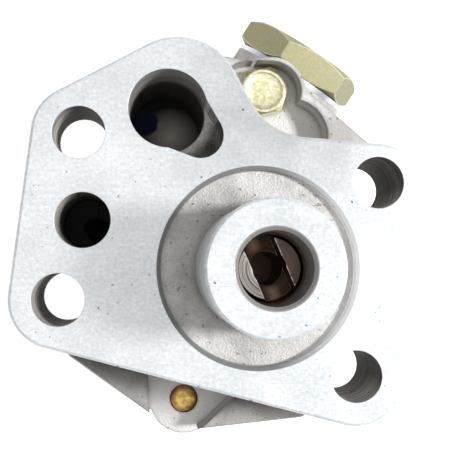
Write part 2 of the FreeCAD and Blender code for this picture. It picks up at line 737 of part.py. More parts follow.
def relief_plug():
    """Hexagon plug with a hollow thread that holds the spring."""
    z0 = WASHER_THICK
    hexed = chamfered_head(0, 0, z0, z0 + PLUG_HEX_THICK, PLUG_FLATS, 0, both=True)
    thread = cyl(0, 0, -PLUG_THREAD_LEN, z0 + 0.5, PLUG_THREAD_R - THREAD_GAP)
    body = join([hexed, thread]).cut(
        cyl(0, 0, -PLUG_THREAD_LEN - 1, PLUG_CUP_FLOOR, PLUG_CUP_R)
    )
    body.rotate(V(0, 0, 0), V(0, 0, 1), 180 + PLUG_TURN)
    return along_valve(body)


def relief_piston():
    low = -VALVE_BORE_DEPTH
    body = cyl(0, 0, low, low + PISTON_LEN, VALVE_BORE_R - RUNNING_GAP)
    cup = cyl(0, 0, low + PISTON_HEAD, low + PISTON_LEN + 1, PISTON_CUP_R)
    return along_valve(body.cut(cup))


def relief_spring():
    """Round wire wound between the piston's cup and the shim in the plug."""
    low = -VALVE_BORE_DEPTH + PISTON_HEAD + SPRING_WIRE_R + 0.05
    high = PLUG_CUP_FLOOR - SHIM_THICK - SPRING_WIRE_R - 0.05
    pitch = (high - low) / SPRING_TURNS
    helix = Part.makeHelix(pitch, high - low, SPRING_R)
    wire = Part.Wire(
        [Part.makeCircle(SPRING_WIRE_R, V(SPRING_R, 0, 0), V(0, 1, pitch / (2 * math.pi * SPRING_R)))]
    )
    coil = Part.Wire(helix).makePipeShell([wire], True, True)
    coil.translate(V(0, 0, low))
    return along_valve(coil)


def spring_shim():
    z1 = PLUG_CUP_FLOOR
    return along_valve(ring(0, 0, z1 - SHIM_THICK, z1, 2.0, PLUG_CUP_R - 0.3))


def front_bush():
    r = SHAFT_R + RUNNING_GAP
    return ring(0, 0, BUSH_TOP - FRONT_BUSH_LEN, BUSH_TOP, r, r + BUSH_WALL)


def middle_bush():
    r = SHAFT_R + RUNNING_GAP
    return ring(0, 0, SPLIT_Z, SPLIT_Z + MIDDLE_BUSH_LEN, r, r + BUSH_WALL)


def rear_bush():
    r = SHAFT_TAIL_R + RUNNING_GAP
    return ring(0, 0, COVER_BACK_Z, COVER_FRONT_Z, r, r + BUSH_WALL)


def idler_pin():
    x, y = IDLER
    return cyl(x, y, COVER_BACK_Z + 3, SPLIT_Z + IDLER_PIN_DEPTH, IDLER_PIN_R)


def idler_bush():
    x, y = IDLER
    z1 = BODY_FRONT_Z - GEAR_SIDE_GAP
    return ring(x, y, z1 - GEAR_WIDTH, z1, IDLER_PIN_R + RUNNING_GAP, IDLER_BUSH_R)


def plug_washer():
    return along_valve(ring(0, 0, 0, WASHER_THICK, PLUG_THREAD_R + 0.1, WASHER_R))


def front_bolt():
    x, y = FRONT_BOLT
    return bolt(x, y, PAD_Z, PAD_Z - FRONT_BOLT_REACH, BOLT_HEAD_TURN)


def rear_bolts():
    bolts = [bolt(x, y, COVER_BACK_Z, REAR_BOLT_TIP_Z, 30.0) for x, y in REAR_BOLTS]
    return Part.makeCompound(bolts)


def body_dowels():
    reach = DOWEL_REACH - 0.3
    pins = [cyl(x, y, SPLIT_Z - reach, SPLIT_Z + reach, DOWEL_R) for x, y in DOWELS]
    return Part.makeCompound(pins)


PARTS = [
    front_flange,
    front_column,
    front_platform,
    front_port_foot,
    front_snout,
    pump_body,
    rear_cover,
    gallery_plug,
    body_gasket,
    cover_gasket,
    drive_shaft,
    drive_key,
    drive_gear,
    idler_gear,
    idler_bush,
    idler_pin,
    front_bush,
    middle_bush,
    rear_bush,
    relief_plug,
    plug_washer,
    spring_shim,
    relief_spring,
    relief_piston,
    front_bolt,
    rear_bolts,
    body_dowels,
]

os.makedirs("parts", exist_ok=True)
for make in PARTS:
    shape = make()
    name = make.__name__
    shape.exportStep("parts/" + name + ".step")
    box = shape.BoundBox
    print(
        name,
        "solids", len(shape.Solids),
        "valid", shape.isValid(),
        "volume", round(shape.Volume, 1),
        "z", round(box.ZMin, 2), round(box.ZMax, 2),
    )
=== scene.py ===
# %% [markdown]
# # An engine oil pump, seen from its mounting face
#
# The pump bolts to an engine by a milled flange with four ears. A turned snout
# centres it, and a slotted shaft inside the snout drives two spur gears in the
# body behind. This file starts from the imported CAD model, which is already the
# right shape and size, and gives each surface the finish that its making left:
# milling, turning, drilling, sand casting and zinc plating.

# %% Load the pump
import math

import bpy
from mathutils import Matrix, Vector


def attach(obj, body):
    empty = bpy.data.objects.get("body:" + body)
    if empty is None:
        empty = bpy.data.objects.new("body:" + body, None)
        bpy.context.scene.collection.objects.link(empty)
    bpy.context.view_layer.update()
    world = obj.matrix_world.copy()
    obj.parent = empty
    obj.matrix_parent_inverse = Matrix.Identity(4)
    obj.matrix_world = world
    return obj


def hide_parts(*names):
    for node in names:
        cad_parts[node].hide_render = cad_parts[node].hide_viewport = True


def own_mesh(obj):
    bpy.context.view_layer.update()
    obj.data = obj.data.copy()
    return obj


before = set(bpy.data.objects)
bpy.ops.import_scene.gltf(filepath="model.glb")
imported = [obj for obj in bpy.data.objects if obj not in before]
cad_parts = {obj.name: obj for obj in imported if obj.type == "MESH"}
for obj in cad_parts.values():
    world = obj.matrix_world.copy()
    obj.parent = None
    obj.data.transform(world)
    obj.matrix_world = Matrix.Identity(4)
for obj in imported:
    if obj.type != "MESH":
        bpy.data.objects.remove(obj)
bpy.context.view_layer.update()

# %% [markdown]
# ## Sizes that the finishes need
#
# A finish follows the object's own places: the flange face is at height zero,
# and each drilled hole has a centre and a radius. They are written once here, in
# metres, and the materials below find their surfaces by them.

# %% Places on the castings
MM = 0.001
FACE_Z = 0.0
RECESS_Z = -3.0 * MM
RECESS_R = 24.6 * MM
SNOUT_R = 15.0 * MM
PLATE_BACK_Z = -14.0 * MM
PLATFORM_Z = -36.0 * MM
PORT_FLOOR_Z = -44.0 * MM
FLOOR_Z = -104.5 * MM
SHAFT_TOP = 18.9 * MM
SHAFT_HOLE_R = 3.8 * MM
SLOT_DEPTH = 7.0 * MM
SLOT_WIDTH = 7.2 * MM
SLOT_TURN = math.radians(-66.8)
# Each hole is x, y and radius in mm. The port is a bore with a slot beside it.
HOLES = [
    (-43.2, 32.3, 6.3),
    (-47.8, -7.5, 6.3),
    (23.6, -26.2, 6.3),
    (29.3, 20.8, 6.3),
    (-42.2, 11.4, 6.65),
]
PORT = [(-22.0, 38.4, 9.5), (-19.2, 36.2, 7.8), (-14.2, 32.0, 5.6)]
VALVE_ANGLE = math.radians(57.5)
VALVE_RISE = math.radians(10.8)
VALVE_SEAT = Vector((18.51, 60.47, -73.63)) * MM
VALVE_AXIS = Vector((
    math.cos(VALVE_ANGLE) * math.cos(VALVE_RISE),
    math.sin(VALVE_ANGLE) * math.cos(VALVE_RISE),
    math.sin(VALVE_RISE),
))
print("holes to finish:", len(HOLES) + len(PORT))


# %% [markdown]
# ## Small helpers for node trees
#
# Every material and every modifier below is a tree of nodes. One helper adds a
# node, sets its plain values and links what is already a socket, so that a tree
# reads from top to bottom like a recipe.

# %% Node helpers
def feed(tree, node, inputs):
    """Links each input that is a socket, and writes the others as plain values."""
    for key, value in inputs.items():
        if isinstance(value, bpy.types.NodeSocket):
            tree.links.new(value, node.inputs[key])
        else:
            node.inputs[key].default_value = value
    return node


def add(tree, kind, inputs=None, **settings):
    """Adds a node; inputs are values or sockets, by name or by number."""
    node = tree.nodes.new(kind)
    for key, value in settings.items():
        setattr(node, key, value)
    return feed(tree, node, inputs or {})


def calc(tree, operation, *values):
    """One Math node."""
    return add(tree, "ShaderNodeMath", dict(enumerate(values)), operation=operation).outputs[0]


def ramp(tree, value, low, high, to_low=0.0, to_high=1.0):
    """Maps a range of a value to another, and holds it at both ends."""
    inputs = {0: value, 1: low, 2: high, 3: to_low, 4: to_high}
    return add(tree, "ShaderNodeMapRange", inputs).outputs[0]


def noise(tree, vector, scale, detail=3.0, roughness=0.55):
    """A smooth random field between 0 and 1; scale counts its lumps per metre."""
    inputs = {"Vector": vector, "Scale": scale, "Detail": detail, "Roughness": roughness}
    return add(tree, "ShaderNodeTexNoise", inputs).outputs[0]


print("node helpers:", ", ".join(f.__name__ for f in (feed, add, calc, ramp, noise)))


# %% [markdown]
# Masks are numbers from 0 to 1, so their product is where all of them are, and
# the largest is where any of them is. Short names for that make the materials
# read like descriptions of places.

# %% Mask helpers
def times(tree, first, *others):
    """The product, which for masks is where all of them are."""
    for other in others:
        first = calc(tree, "MULTIPLY", first, other)
    return first


def either(tree, first, *others):
    """The largest, which for masks is where any of them is."""
    for other in others:
        first = calc(tree, "MAXIMUM", first, other)
    return first


def off(tree, mask):
    """1 where the mask is 0, and 0 where it is 1."""
    return calc(tree, "SUBTRACT", 1.0, mask)


def over(tree, value, limit):
    return calc(tree, "GREATER_THAN", value, limit)


def under(tree, value, limit):
    return calc(tree, "LESS_THAN", value, limit)


def blend_value(tree, mask, first, second):
    """The first number where the mask is 0 and the second where it is 1."""
    return add(tree, "ShaderNodeMix", {0: mask, 2: first, 3: second}).outputs[0]


def blend_colour(tree, mask, first, second):
    """The first colour where the mask is 0 and the second where it is 1."""
    inputs = {0: mask, 6: first, 7: second}
    return add(tree, "ShaderNodeMix", inputs, data_type="RGBA").outputs[2]


print("mask helpers:", ", ".join(f.__name__ for f in (times, either, off, over, under)))


# %% [markdown]
# The next helpers measure places. The last two turn a colour as it shows on
# screen into linear light, because an eye compares it on screen.

# %% Place and colour helpers
def split(tree, vector):
    """The three parts of a vector."""
    return add(tree, "ShaderNodeSeparateXYZ", {0: vector}).outputs[:3]


def flat(tree, x, y):
    """A place pressed down to height zero."""
    return add(tree, "ShaderNodeCombineXYZ", {0: x, 1: y}).outputs[0]


def vector_calc(tree, operation, first, second=None):
    """One Vector Math node."""
    inputs = {0: first} if second is None else {0: first, 1: second}
    return add(tree, "ShaderNodeVectorMath", inputs, operation=operation).outputs


def length(tree, vector):
    return vector_calc(tree, "LENGTH", vector)["Value"]


def distance(tree, place, spot):
    return vector_calc(tree, "DISTANCE", place, spot)["Value"]


def dot(tree, vector, direction):
    return vector_calc(tree, "DOT_PRODUCT", vector, direction)["Value"]


def grey(value, warm=0.0):
    """A grey written as it shows on screen, from 0 to 255, turned to linear light."""
    def linear(v):
        v = max(0.0, min(1.0, v / 255.0))
        return v / 12.92 if v <= 0.04045 else ((v + 0.055) / 1.055) ** 2.4
    return (linear(value + warm), linear(value), linear(value - warm), 1.0)


def colour(red, green, blue):
    """A colour written as it shows on screen, each channel from 0 to 255."""
    return (grey(red)[0], grey(green)[0], grey(blue)[0], 1.0)


print("mid grey is", round(grey(128)[0], 3), "in linear light")


# %% [markdown]
# ## Effects that several finishes share
#
# Sand grain, turning rings, milling scratches, worn edges and painted shade in
# corners each turn up on more than one piece. A node group holds an effect once,
# with named sockets, and each material sets its own values. The groups give out
# only masks, heights and normals, and the shaders stay in the materials.

# %% Ways to start, end and use a group
FLOAT, VECTOR = "NodeSocketFloat", "NodeSocketVector"
GEOMETRY, MATERIAL = "NodeSocketGeometry", "NodeSocketMaterial"


def start_group(name, inputs, outputs, kind="ShaderNodeTree"):
    """A new group; inputs are (name, kind, start value), outputs are (name, kind)."""
    tree = bpy.data.node_groups.new(name, kind)
    for label, socket_type, value in inputs:
        socket = tree.interface.new_socket(label, in_out="INPUT", socket_type=socket_type)
        if value is not None:
            socket.default_value = value
    for label, socket_type in outputs:
        tree.interface.new_socket(label, in_out="OUTPUT", socket_type=socket_type)
    enter = tree.nodes.new("NodeGroupInput").outputs
    leave = tree.nodes.new("NodeGroupOutput").inputs
    return tree, enter, leave


def give_out(tree, leave, results):
    """Links each result to the output that has its name."""
    for label, value in results.items():
        tree.links.new(value, leave[label])
    print(tree.name, "gives out:", ", ".join(results))


def use(tree, group, inputs):
    """Places a group in a material and returns its outputs."""
    return add(tree, "ShaderNodeGroup", inputs, node_tree=group).outputs


print("groups pass on sockets of kind", FLOAT, "and", VECTOR)

# %% [markdown]
# ### Sand grain
#
# Molten aluminium takes the print of the sand it is poured into. Close up that
# is a field of rounded grains under a millimetre across, with a few open pores.
# Displacement could raise them for real, at the price of millions of faces, so
# they are a height for a bump. A cell pattern gives the grains, a fine noise
# breaks them up, and a slow noise makes the grey uneven.

# %% Sand grain group
sand_grain, enter, leave = start_group(
    "Sand grain",
    [("Place", VECTOR, None), ("Grains per metre", FLOAT, 1500.0)],
    [("Height", FLOAT), ("Tone", FLOAT), ("Pores", FLOAT)],
)
place, grains = enter["Place"], enter["Grains per metre"]
cells = add(sand_grain, "ShaderNodeTexVoronoi", {"Vector": place, "Scale": grains})
fine = noise(sand_grain, place, times(sand_grain, grains, 1.7), 4.0)
slow = noise(sand_grain, place, times(sand_grain, grains, 0.06), 3.0)
lumps = noise(sand_grain, place, times(sand_grain, grains, 0.22), 2.0)
pore_field = noise(sand_grain, place, times(sand_grain, grains, 0.5), 1.0)
pores = ramp(sand_grain, pore_field, 0.70, 0.74)
height = calc(sand_grain, "MULTIPLY_ADD", cells.outputs["Distance"], -0.55, fine)
height = calc(sand_grain, "MULTIPLY_ADD", lumps, 1.2, height)
height = calc(sand_grain, "MULTIPLY_ADD", pores, -1.2, height)
tone = calc(sand_grain, "MULTIPLY_ADD", calc(sand_grain, "SUBTRACT", fine, 0.5), 0.5, slow)
give_out(sand_grain, leave, {"Height": height, "Tone": tone, "Pores": pores})

# %% [markdown]
# ### Turning rings
#
# A lathe tool leaves a fine spiral: rings on an end face, and bands on a round
# wall. A wave texture could draw them, but its lines are all alike. Here the
# distance from the axis plus the height along it makes both with one formula,
# and noise that changes slowly round the axis keeps them from being perfect.

# %% Turning rings group
turning, enter, leave = start_group(
    "Turning rings",
    [("Place", VECTOR, None), ("Rings per metre", FLOAT, 3500.0)],
    [("Height", FLOAT), ("Tone", FLOAT)],
)
x, y, z = split(turning, enter["Place"])
along = calc(turning, "ADD", length(turning, flat(turning, x, y)), z)
turns = add(turning, "ShaderNodeCombineXYZ", {
    2: times(turning, along, enter["Rings per metre"])}).outputs[0]
drift = vector_calc(turning, "MULTIPLY", enter["Place"], (60.0, 60.0, 60.0))[0]
path = vector_calc(turning, "ADD", turns, drift)[0]
rings = noise(turning, path, 1.0, 2.0, 0.6)
broad = noise(turning, path, 0.18, 1.0)
tone = calc(turning, "MULTIPLY_ADD", rings, 0.6, times(turning, broad, 0.4))
give_out(turning, leave, {"Height": rings, "Tone": tone})

# %% [markdown]
# ### Milling and handling marks
#
# A milled face is never quite one colour. The cutter leaves short strokes, and
# handling adds hair scratches and small dark specks where grit was pressed in.
# Noise stretched along one direction gives strokes, and a noise cut off near
# its peak gives rare specks.

# %% Milling marks group
milling, enter, leave = start_group(
    "Milling marks",
    [("Place", VECTOR, None)],
    [("Height", FLOAT), ("Tone", FLOAT), ("Scratches", FLOAT), ("Specks", FLOAT)],
)
strokes = add(milling, "ShaderNodeMapping", {
    "Vector": enter["Place"], "Rotation": (0.0, 0.0, 0.35), "Scale": (1.0, 9.0, 1.0)})
hairs = add(milling, "ShaderNodeMapping", {
    "Vector": enter["Place"], "Rotation": (0.0, 0.0, -0.9), "Scale": (1.0, 22.0, 1.0)})
stroke = noise(milling, strokes.outputs[0], 300.0, 4.0)
mottle = noise(milling, enter["Place"], 1150.0, 4.0, 0.65)
cloud = noise(milling, enter["Place"], 62.0, 3.0)
hair = noise(milling, hairs.outputs[0], 140.0, 2.0)
gate = noise(milling, enter["Place"], 95.0, 1.0)
scratch = times(milling, ramp(milling, hair, 0.70, 0.73), ramp(milling, gate, 0.5, 0.6))
speck_field = noise(milling, enter["Place"], 900.0, 0.0)
specks = times(milling, ramp(milling, speck_field, 0.79, 0.81), ramp(milling, gate, 0.48, 0.58))
tone = calc(milling, "MULTIPLY_ADD", cloud, 0.35, times(milling, stroke, 0.15))
tone = calc(milling, "MULTIPLY_ADD", mottle, 0.5, tone)
give_out(milling, leave, {
    "Height": stroke, "Tone": tone, "Scratches": scratch, "Specks": specks})

# %% [markdown]
# ### Soft edges and edge wear
#
# No cast or machined edge is a perfect corner. A Bevel modifier could round it,
# but a CAD mesh has to stay as it is. The Bevel node reads the shape round each
# point and gives a rounded normal there, so an edge catches the light without
# one more face. Where that normal leans away from the real one, there is an
# edge, and the edge is also where the finish wears bright.

# %% Soft edge group
soft_edge, enter, leave = start_group(
    "Soft edge",
    [("Radius", FLOAT, 0.4 * MM)],
    [("Normal", VECTOR), ("Worn", FLOAT)],
)
bevel = add(soft_edge, "ShaderNodeBevel", {"Radius": enter["Radius"]}, samples=4)
true_normal = add(soft_edge, "ShaderNodeNewGeometry").outputs["Normal"]
lean = dot(soft_edge, bevel.outputs[0], true_normal)
give_out(soft_edge, leave, {
    "Normal": bevel.outputs[0], "Worn": ramp(soft_edge, lean, 0.985, 0.86)})

# %% [markdown]
# ### Shade in corners
#
# Corners and the places behind overhangs get little light, and this group paints
# that shade dark. It could be painted by hand, piece by piece. Ambient
# occlusion finds the same places by itself, because it measures how much of the
# sky a point can't see within a few millimetres. A slow noise keeps it uneven.

# %% Corner shade group
corner_shade, enter, leave = start_group(
    "Corner grime",
    [("Place", VECTOR, None), ("Reach", FLOAT, 6.0 * MM), ("Amount", FLOAT, 0.6)],
    [("Mask", FLOAT)],
)
hidden = add(corner_shade, "ShaderNodeAmbientOcclusion", {"Distance": enter["Reach"]}, samples=6)
patches = noise(corner_shade, enter["Place"], 160.0, 3.0)
# Painted shade: darker where ambient occlusion finds little open sky.
darkening = times(
    corner_shade,
    ramp(corner_shade, hidden.outputs["AO"], 0.82, 0.3),
    ramp(corner_shade, patches, 0.3, 0.6, 0.6, 1.0),
    enter["Amount"],
)
give_out(corner_shade, leave, {"Mask": darkening})


# %% [markdown]
# ## What every material does
#
# A material starts from its Principled shader and the object's own place, and
# ends with a bump over softened edges and three inputs of the shader.

# %% Material helpers
def start_material(name):
    """A material with its tree, its Principled shader and the object's own place."""
    material = bpy.data.materials.new(name)
    material.use_nodes = True
    tree = material.node_tree
    place = add(tree, "ShaderNodeTexCoord").outputs["Object"]
    return material, tree, tree.nodes["Principled BSDF"], place


def finish_normal(tree, shader, height, depth, edge_radius, strength=1.0):
    """Bump over a softened edge. Returns the mask of worn edges."""
    edges = use(tree, soft_edge, {"Radius": edge_radius})
    bump = add(tree, "ShaderNodeBump", {
        "Strength": strength, "Distance": depth, "Height": height, "Normal": edges["Normal"]})
    tree.links.new(bump.outputs[0], shader.inputs["Normal"])
    return edges["Worn"]


def coat(tree, shader, tint, roughness, metallic):
    """Feeds the shader's colour, roughness and metal, each a value or a socket."""
    feed(tree, shader, {"Base Color": tint, "Roughness": roughness, "Metallic": metallic})


print("material helpers:", ", ".join(
    f.__name__ for f in (start_material, finish_normal, coat)))


# %% [markdown]
# ## The front casting
#
# The flange face and the snout are machined nearly white, the ring sunk round
# the snout is rough and a warmer grey, the drilled walls are dark, and the rest
# is as it was cast. Each face could have a material of its own, but the CAD mesh
# has no groups of faces to hang them on, and it is one casting after all. So one
# material covers it, and finds each kind of surface by height and distance: a
# drilled wall, for one, lies at a known distance from a known centre.

# %% Mark out the front casting
DRILL_MARGIN = 0.12 * MM
BORE_R = 9.7 * MM
MOUTH_R = 9.0 * MM
MOUTH_Z = SHAFT_TOP + 0.6 * MM
PADS_Z = PLATFORM_Z - 3.0 * MM


def holes_mask(tree, level, holes):
    """1 on and inside the wall of any of the holes, each x, y, radius in mm."""
    return either(tree, *(
        under(tree, distance(tree, level, (x * MM, y * MM, 0.0)), r * MM + DRILL_MARGIN)
        for x, y, r in holes))


def mark_out(tree, place):
    """What the front casting's surfaces are found by, and a mask for each of them."""
    x, y, z = split(tree, place)
    to_right, to_top, up = split(tree, add(tree, "ShaderNodeTexCoord").outputs["Normal"])
    level = flat(tree, x, y)
    radius = length(tree, level)
    milled = over(tree, z, FACE_Z - 0.7 * MM)
    snout_wall = times(tree, under(tree, radius, SNOUT_R + 0.3 * MM),
                       over(tree, z, RECESS_Z + 1.5 * MM))
    ring_wall = times(tree, over(tree, radius, RECESS_R - 1.0 * MM),
                      under(tree, radius, RECESS_R + 0.1 * MM),
                      over(tree, z, RECESS_Z - 0.1 * MM))
    below_face = under(tree, z, FACE_Z - 0.05 * MM)
    shaft_bore = times(tree, under(tree, radius, BORE_R), under(tree, z, MOUTH_Z))
    return {
        "x": x, "z": z, "level": level, "radius": radius,
        "to_right": to_right, "to_top": to_top, "up": up,
        "milled": milled,
        "ring_wall": ring_wall,
        "machined": either(tree, milled, snout_wall, ring_wall),
        "recess": times(tree, under(tree, radius, RECESS_R - 0.9 * MM),
                        under(tree, z, FACE_Z - 0.75 * MM)),
        "mouth": times(tree, under(tree, radius, MOUTH_R), over(tree, z, MOUTH_Z)),
        "drilled": either(tree, times(tree, holes_mask(tree, level, HOLES), below_face),
                          shaft_bore),
        "port": times(tree, holes_mask(tree, level, PORT), below_face),
        "pads": under(tree, z, PADS_Z),
    }


print("the pads lie below", round(PADS_Z / MM, 1), "mm")


# %% [markdown]
# ### The cast skin
#
# Sand leaves a grey skin with dark pores. The two bolt pads are painted paler,
# as light that the lamps don't bring down into them, and walls that face
# sideways are painted darker as shade. Painted shade lies in the corners behind
# the plate, on the platform as the flange's shadow in a band that follows its
# lower edge, and at the left of the snout's foot in the recess as the snout's
# shadow. A distance with some noise added to it gives each of them an uneven
# edge.

# %% Cast skin
LOWER_EDGE_OUT = (-0.253, -0.967, 0.0)


def cast_skin(tree, place, at, sand):
    cast = blend_colour(tree, ramp(tree, sand["Tone"], 0.35, 0.65), grey(196, 3), grey(238, 2))
    # Painted light: the bolt pads are lifted to a paler grey.
    cast = blend_colour(tree, times(tree, at["pads"], 0.9), cast, grey(252, 2))
    cast = blend_colour(tree, times(tree, sand["Pores"], 0.5), cast, grey(110, 3))
    # Painted shade: walls that face sideways are darkened.
    side = ramp(tree, calc(tree, "ABSOLUTE", at["up"]), 0.9, 0.4, 0.0, 0.45)
    side = times(tree, side, off(tree, at["recess"]))
    cast = blend_colour(tree, side, cast, grey(128, 3))

    # Painted shade in the corners behind the plate.
    corners = use(tree, corner_shade, {"Place": place, "Reach": 3.0 * MM, "Amount": 0.5})
    # Painted shadow of the flange: a band along its lower edge.
    out = dot(tree, at["level"], LOWER_EDGE_OUT)
    out = calc(tree, "MULTIPLY_ADD", noise(tree, place, 150.0), -3.0 * MM, out)
    band = times(
        tree,
        ramp(tree, out, 41.0 * MM, 33.5 * MM, 0.0, 0.9),
        ramp(tree, out, 24.0 * MM, 32.0 * MM),
        ramp(tree, at["up"], 0.3, 0.9),
        off(tree, times(tree, at["pads"], 0.6)),
        under(tree, at["z"], PLATFORM_Z + 3.0 * MM),
    )
    behind = times(tree, either(tree, corners["Mask"], band), under(tree, at["z"], PLATE_BACK_Z))
    # Painted shadow of the snout at the left of its foot.
    foot = times(
        tree,
        ramp(tree, at["radius"], SNOUT_R + 7.0 * MM, SNOUT_R + 0.5 * MM, 0.0, 0.4),
        ramp(tree, at["x"], 6.0 * MM, -8.0 * MM),
        at["recess"],
    )
    # All of the painted shade and shadow above is laid on as dark grey.
    return blend_colour(tree, either(tree, behind, foot), cast, grey(76, 4))


print("grime follows the edge that faces", LOWER_EDGE_OUT)


# %% [markdown]
# ### The machined skin
#
# Milling leaves the face almost white with a fine mottle, and a patch above the
# recess is painted darker as shade, where the face mirrors less light. The
# recess's wall shows rings and is painted pale on the right as light, and the
# bore's mouth is a darker grey. Scratches and specks lie over all of it. They
# are laid on in that order, broad first, as a real face gathers its marks.

# %% Machined skin
SHADED_SPOT = (2.0 * MM, 36.0 * MM, 0.0)


def machined_skin(tree, place, at, mill, turn):
    bright = blend_colour(tree, ramp(tree, mill["Tone"], 0.42, 0.6), colour(214, 219, 222),
                          colour(246, 248, 249))
    # Painted shade: a darker patch above the recess, where the face mirrors less light.
    far = distance(tree, at["level"], SHADED_SPOT)
    far = calc(tree, "MULTIPLY_ADD", noise(tree, place, 120.0), 24.0 * MM, far)
    shaded = times(tree, ramp(tree, far, 40.0 * MM, 16.0 * MM, 0.0, 0.55), at["milled"],
                 under(tree, at["z"], FACE_Z + 1.0 * MM))
    bright = blend_colour(tree, shaded, bright, grey(176))
    rings = blend_colour(tree, ramp(tree, turn["Tone"], 0.35, 0.65), grey(138), grey(172))
    # Painted light: the recess's wall is made pale on its right.
    lit_right = ramp(tree, at["x"], 4.0 * MM, 20.0 * MM)
    rings = blend_colour(tree, lit_right, rings, grey(252))
    bright = blend_colour(tree, at["ring_wall"], bright, rings)
    mouth = blend_colour(tree, ramp(tree, turn["Tone"], 0.3, 0.7), grey(148, 3), grey(196, 2))
    bright = blend_colour(tree, at["mouth"], bright, mouth)
    bright = blend_colour(tree, times(tree, mill["Scratches"], 0.35), bright, grey(150))
    return blend_colour(tree, times(tree, mill["Specks"], 0.8), bright, grey(70, 2))


print("the dull area is centred", round(SHADED_SPOT[1] / MM), "mm above the shaft")


# %% [markdown]
# ### Drilled walls
#
# A drill leaves rings. The walls are painted dark as shade, those that face the
# light, at the bottom and at the left of each hole, are painted paler as light,
# and the depth is painted black as shade. One more lamp could show that, but it
# would flatten the rest, so the direction in which the wall faces chooses its
# tone.

# %% Drilled walls
BLACK_Z, OPEN_Z = -29.0 * MM, -10.0 * MM


def drilled_skin(tree, at, turn):
    # Painted shade on the walls, and painted light where they face the light.
    dark = blend_colour(tree, ramp(tree, turn["Tone"], 0.35, 0.65), grey(40, 4), grey(108, 4))
    pale = blend_colour(tree, ramp(tree, turn["Tone"], 0.4, 0.6), grey(130, 8), grey(250, 4))
    lit = either(tree, ramp(tree, at["to_top"], 0.1, 0.85, 0.0, 0.9),
                 ramp(tree, at["to_right"], 0.2, 0.8, 0.0, 0.9))
    wall = blend_colour(tree, lit, dark, pale)
    # Painted shade: the walls turn black below BLACK_Z.
    return blend_colour(tree, ramp(tree, at["z"], BLACK_Z, OPEN_Z), grey(16, 2), wall)


print("walls are black below", round(BLACK_Z / MM), "mm")

# %% [markdown]
# ### The large port
#
# The port's bore shows turning rings near its top, and below that it is painted
# dark as shade. Its floor is painted dark as shade, with a painted pool of
# light, and a dark blue stain lies at its left. The shallow slot beside the bore
# was cut roughly, and its lip shines. Hardly any lamp light gets down there, so
# the pool of light is painted on as a soft round spot.

# %% The port's skin
PORT_MIDDLE = (PORT[0][0] * MM, PORT[0][1] * MM, 0.0)
PORT_R = PORT[0][2] * MM
LIGHT_POOL = (-20.5 * MM, 37.2 * MM, PORT_FLOOR_Z)
STAIN = (-27.4 * MM, 41.2 * MM, PORT_FLOOR_Z)


def port_skin(tree, place, at, sand, mill, turn):
    """The port's colour, and the mask of the slot beside its bore."""
    from_middle = distance(tree, at["level"], PORT_MIDDLE)
    slot = over(tree, from_middle, PORT_R + 0.1 * MM)
    rough = blend_colour(tree, ramp(tree, sand["Tone"], 0.4, 0.6), grey(60, 3), grey(136, 3))
    lip = times(tree, ramp(tree, from_middle, 12.6 * MM, 10.4 * MM),
                over(tree, from_middle, PORT_R - 0.05 * MM))
    lip_tint = blend_colour(tree, ramp(tree, mill["Tone"], 0.42, 0.6), grey(200, 2), grey(254))
    slot_tint = blend_colour(tree, lip, rough, lip_tint)

    rings = blend_colour(tree, ramp(tree, turn["Tone"], 0.35, 0.65), grey(140, 2), grey(196, 2))
    # Painted shade: the bore darkens below its top.
    bore = blend_colour(tree, ramp(tree, at["z"], -18.0 * MM, -13.0 * MM), grey(72, 3), rings)
    # Painted light: a pool on the floor, which is painted dark as shade round it.
    light_pool = ramp(tree, distance(tree, place, LIGHT_POOL), 8.8 * MM, 0.5 * MM)
    floor_tint = blend_colour(tree, light_pool, grey(18, 2), grey(236, 10))
    bore = blend_colour(tree, under(tree, at["z"], PORT_FLOOR_Z + 0.5 * MM), bore, floor_tint)

    tint = blend_colour(tree, slot, bore, slot_tint)
    far = calc(tree, "MULTIPLY_ADD", noise(tree, place, 260.0, 2.0), 1.8 * MM,
               distance(tree, place, STAIN))
    stain = ramp(tree, far, 4.7 * MM, 4.0 * MM)
    return blend_colour(tree, stain, tint, colour(10, 16, 72)), slot


print("the port's floor is at", round(PORT_FLOOR_Z / MM), "mm")


# %% [markdown]
# ### One material from the four skins
#
# Four shaders could be mixed by the masks. One shader with blended inputs looks
# the same here, renders faster and bakes well, so the masks lay the four colours
# over one another. They choose the roughness and the metal in the same way, and
# also how far an edge is rounded: a cast edge is soft, a cut one is crisp, and
# the corner at the snout's foot stays sharp.

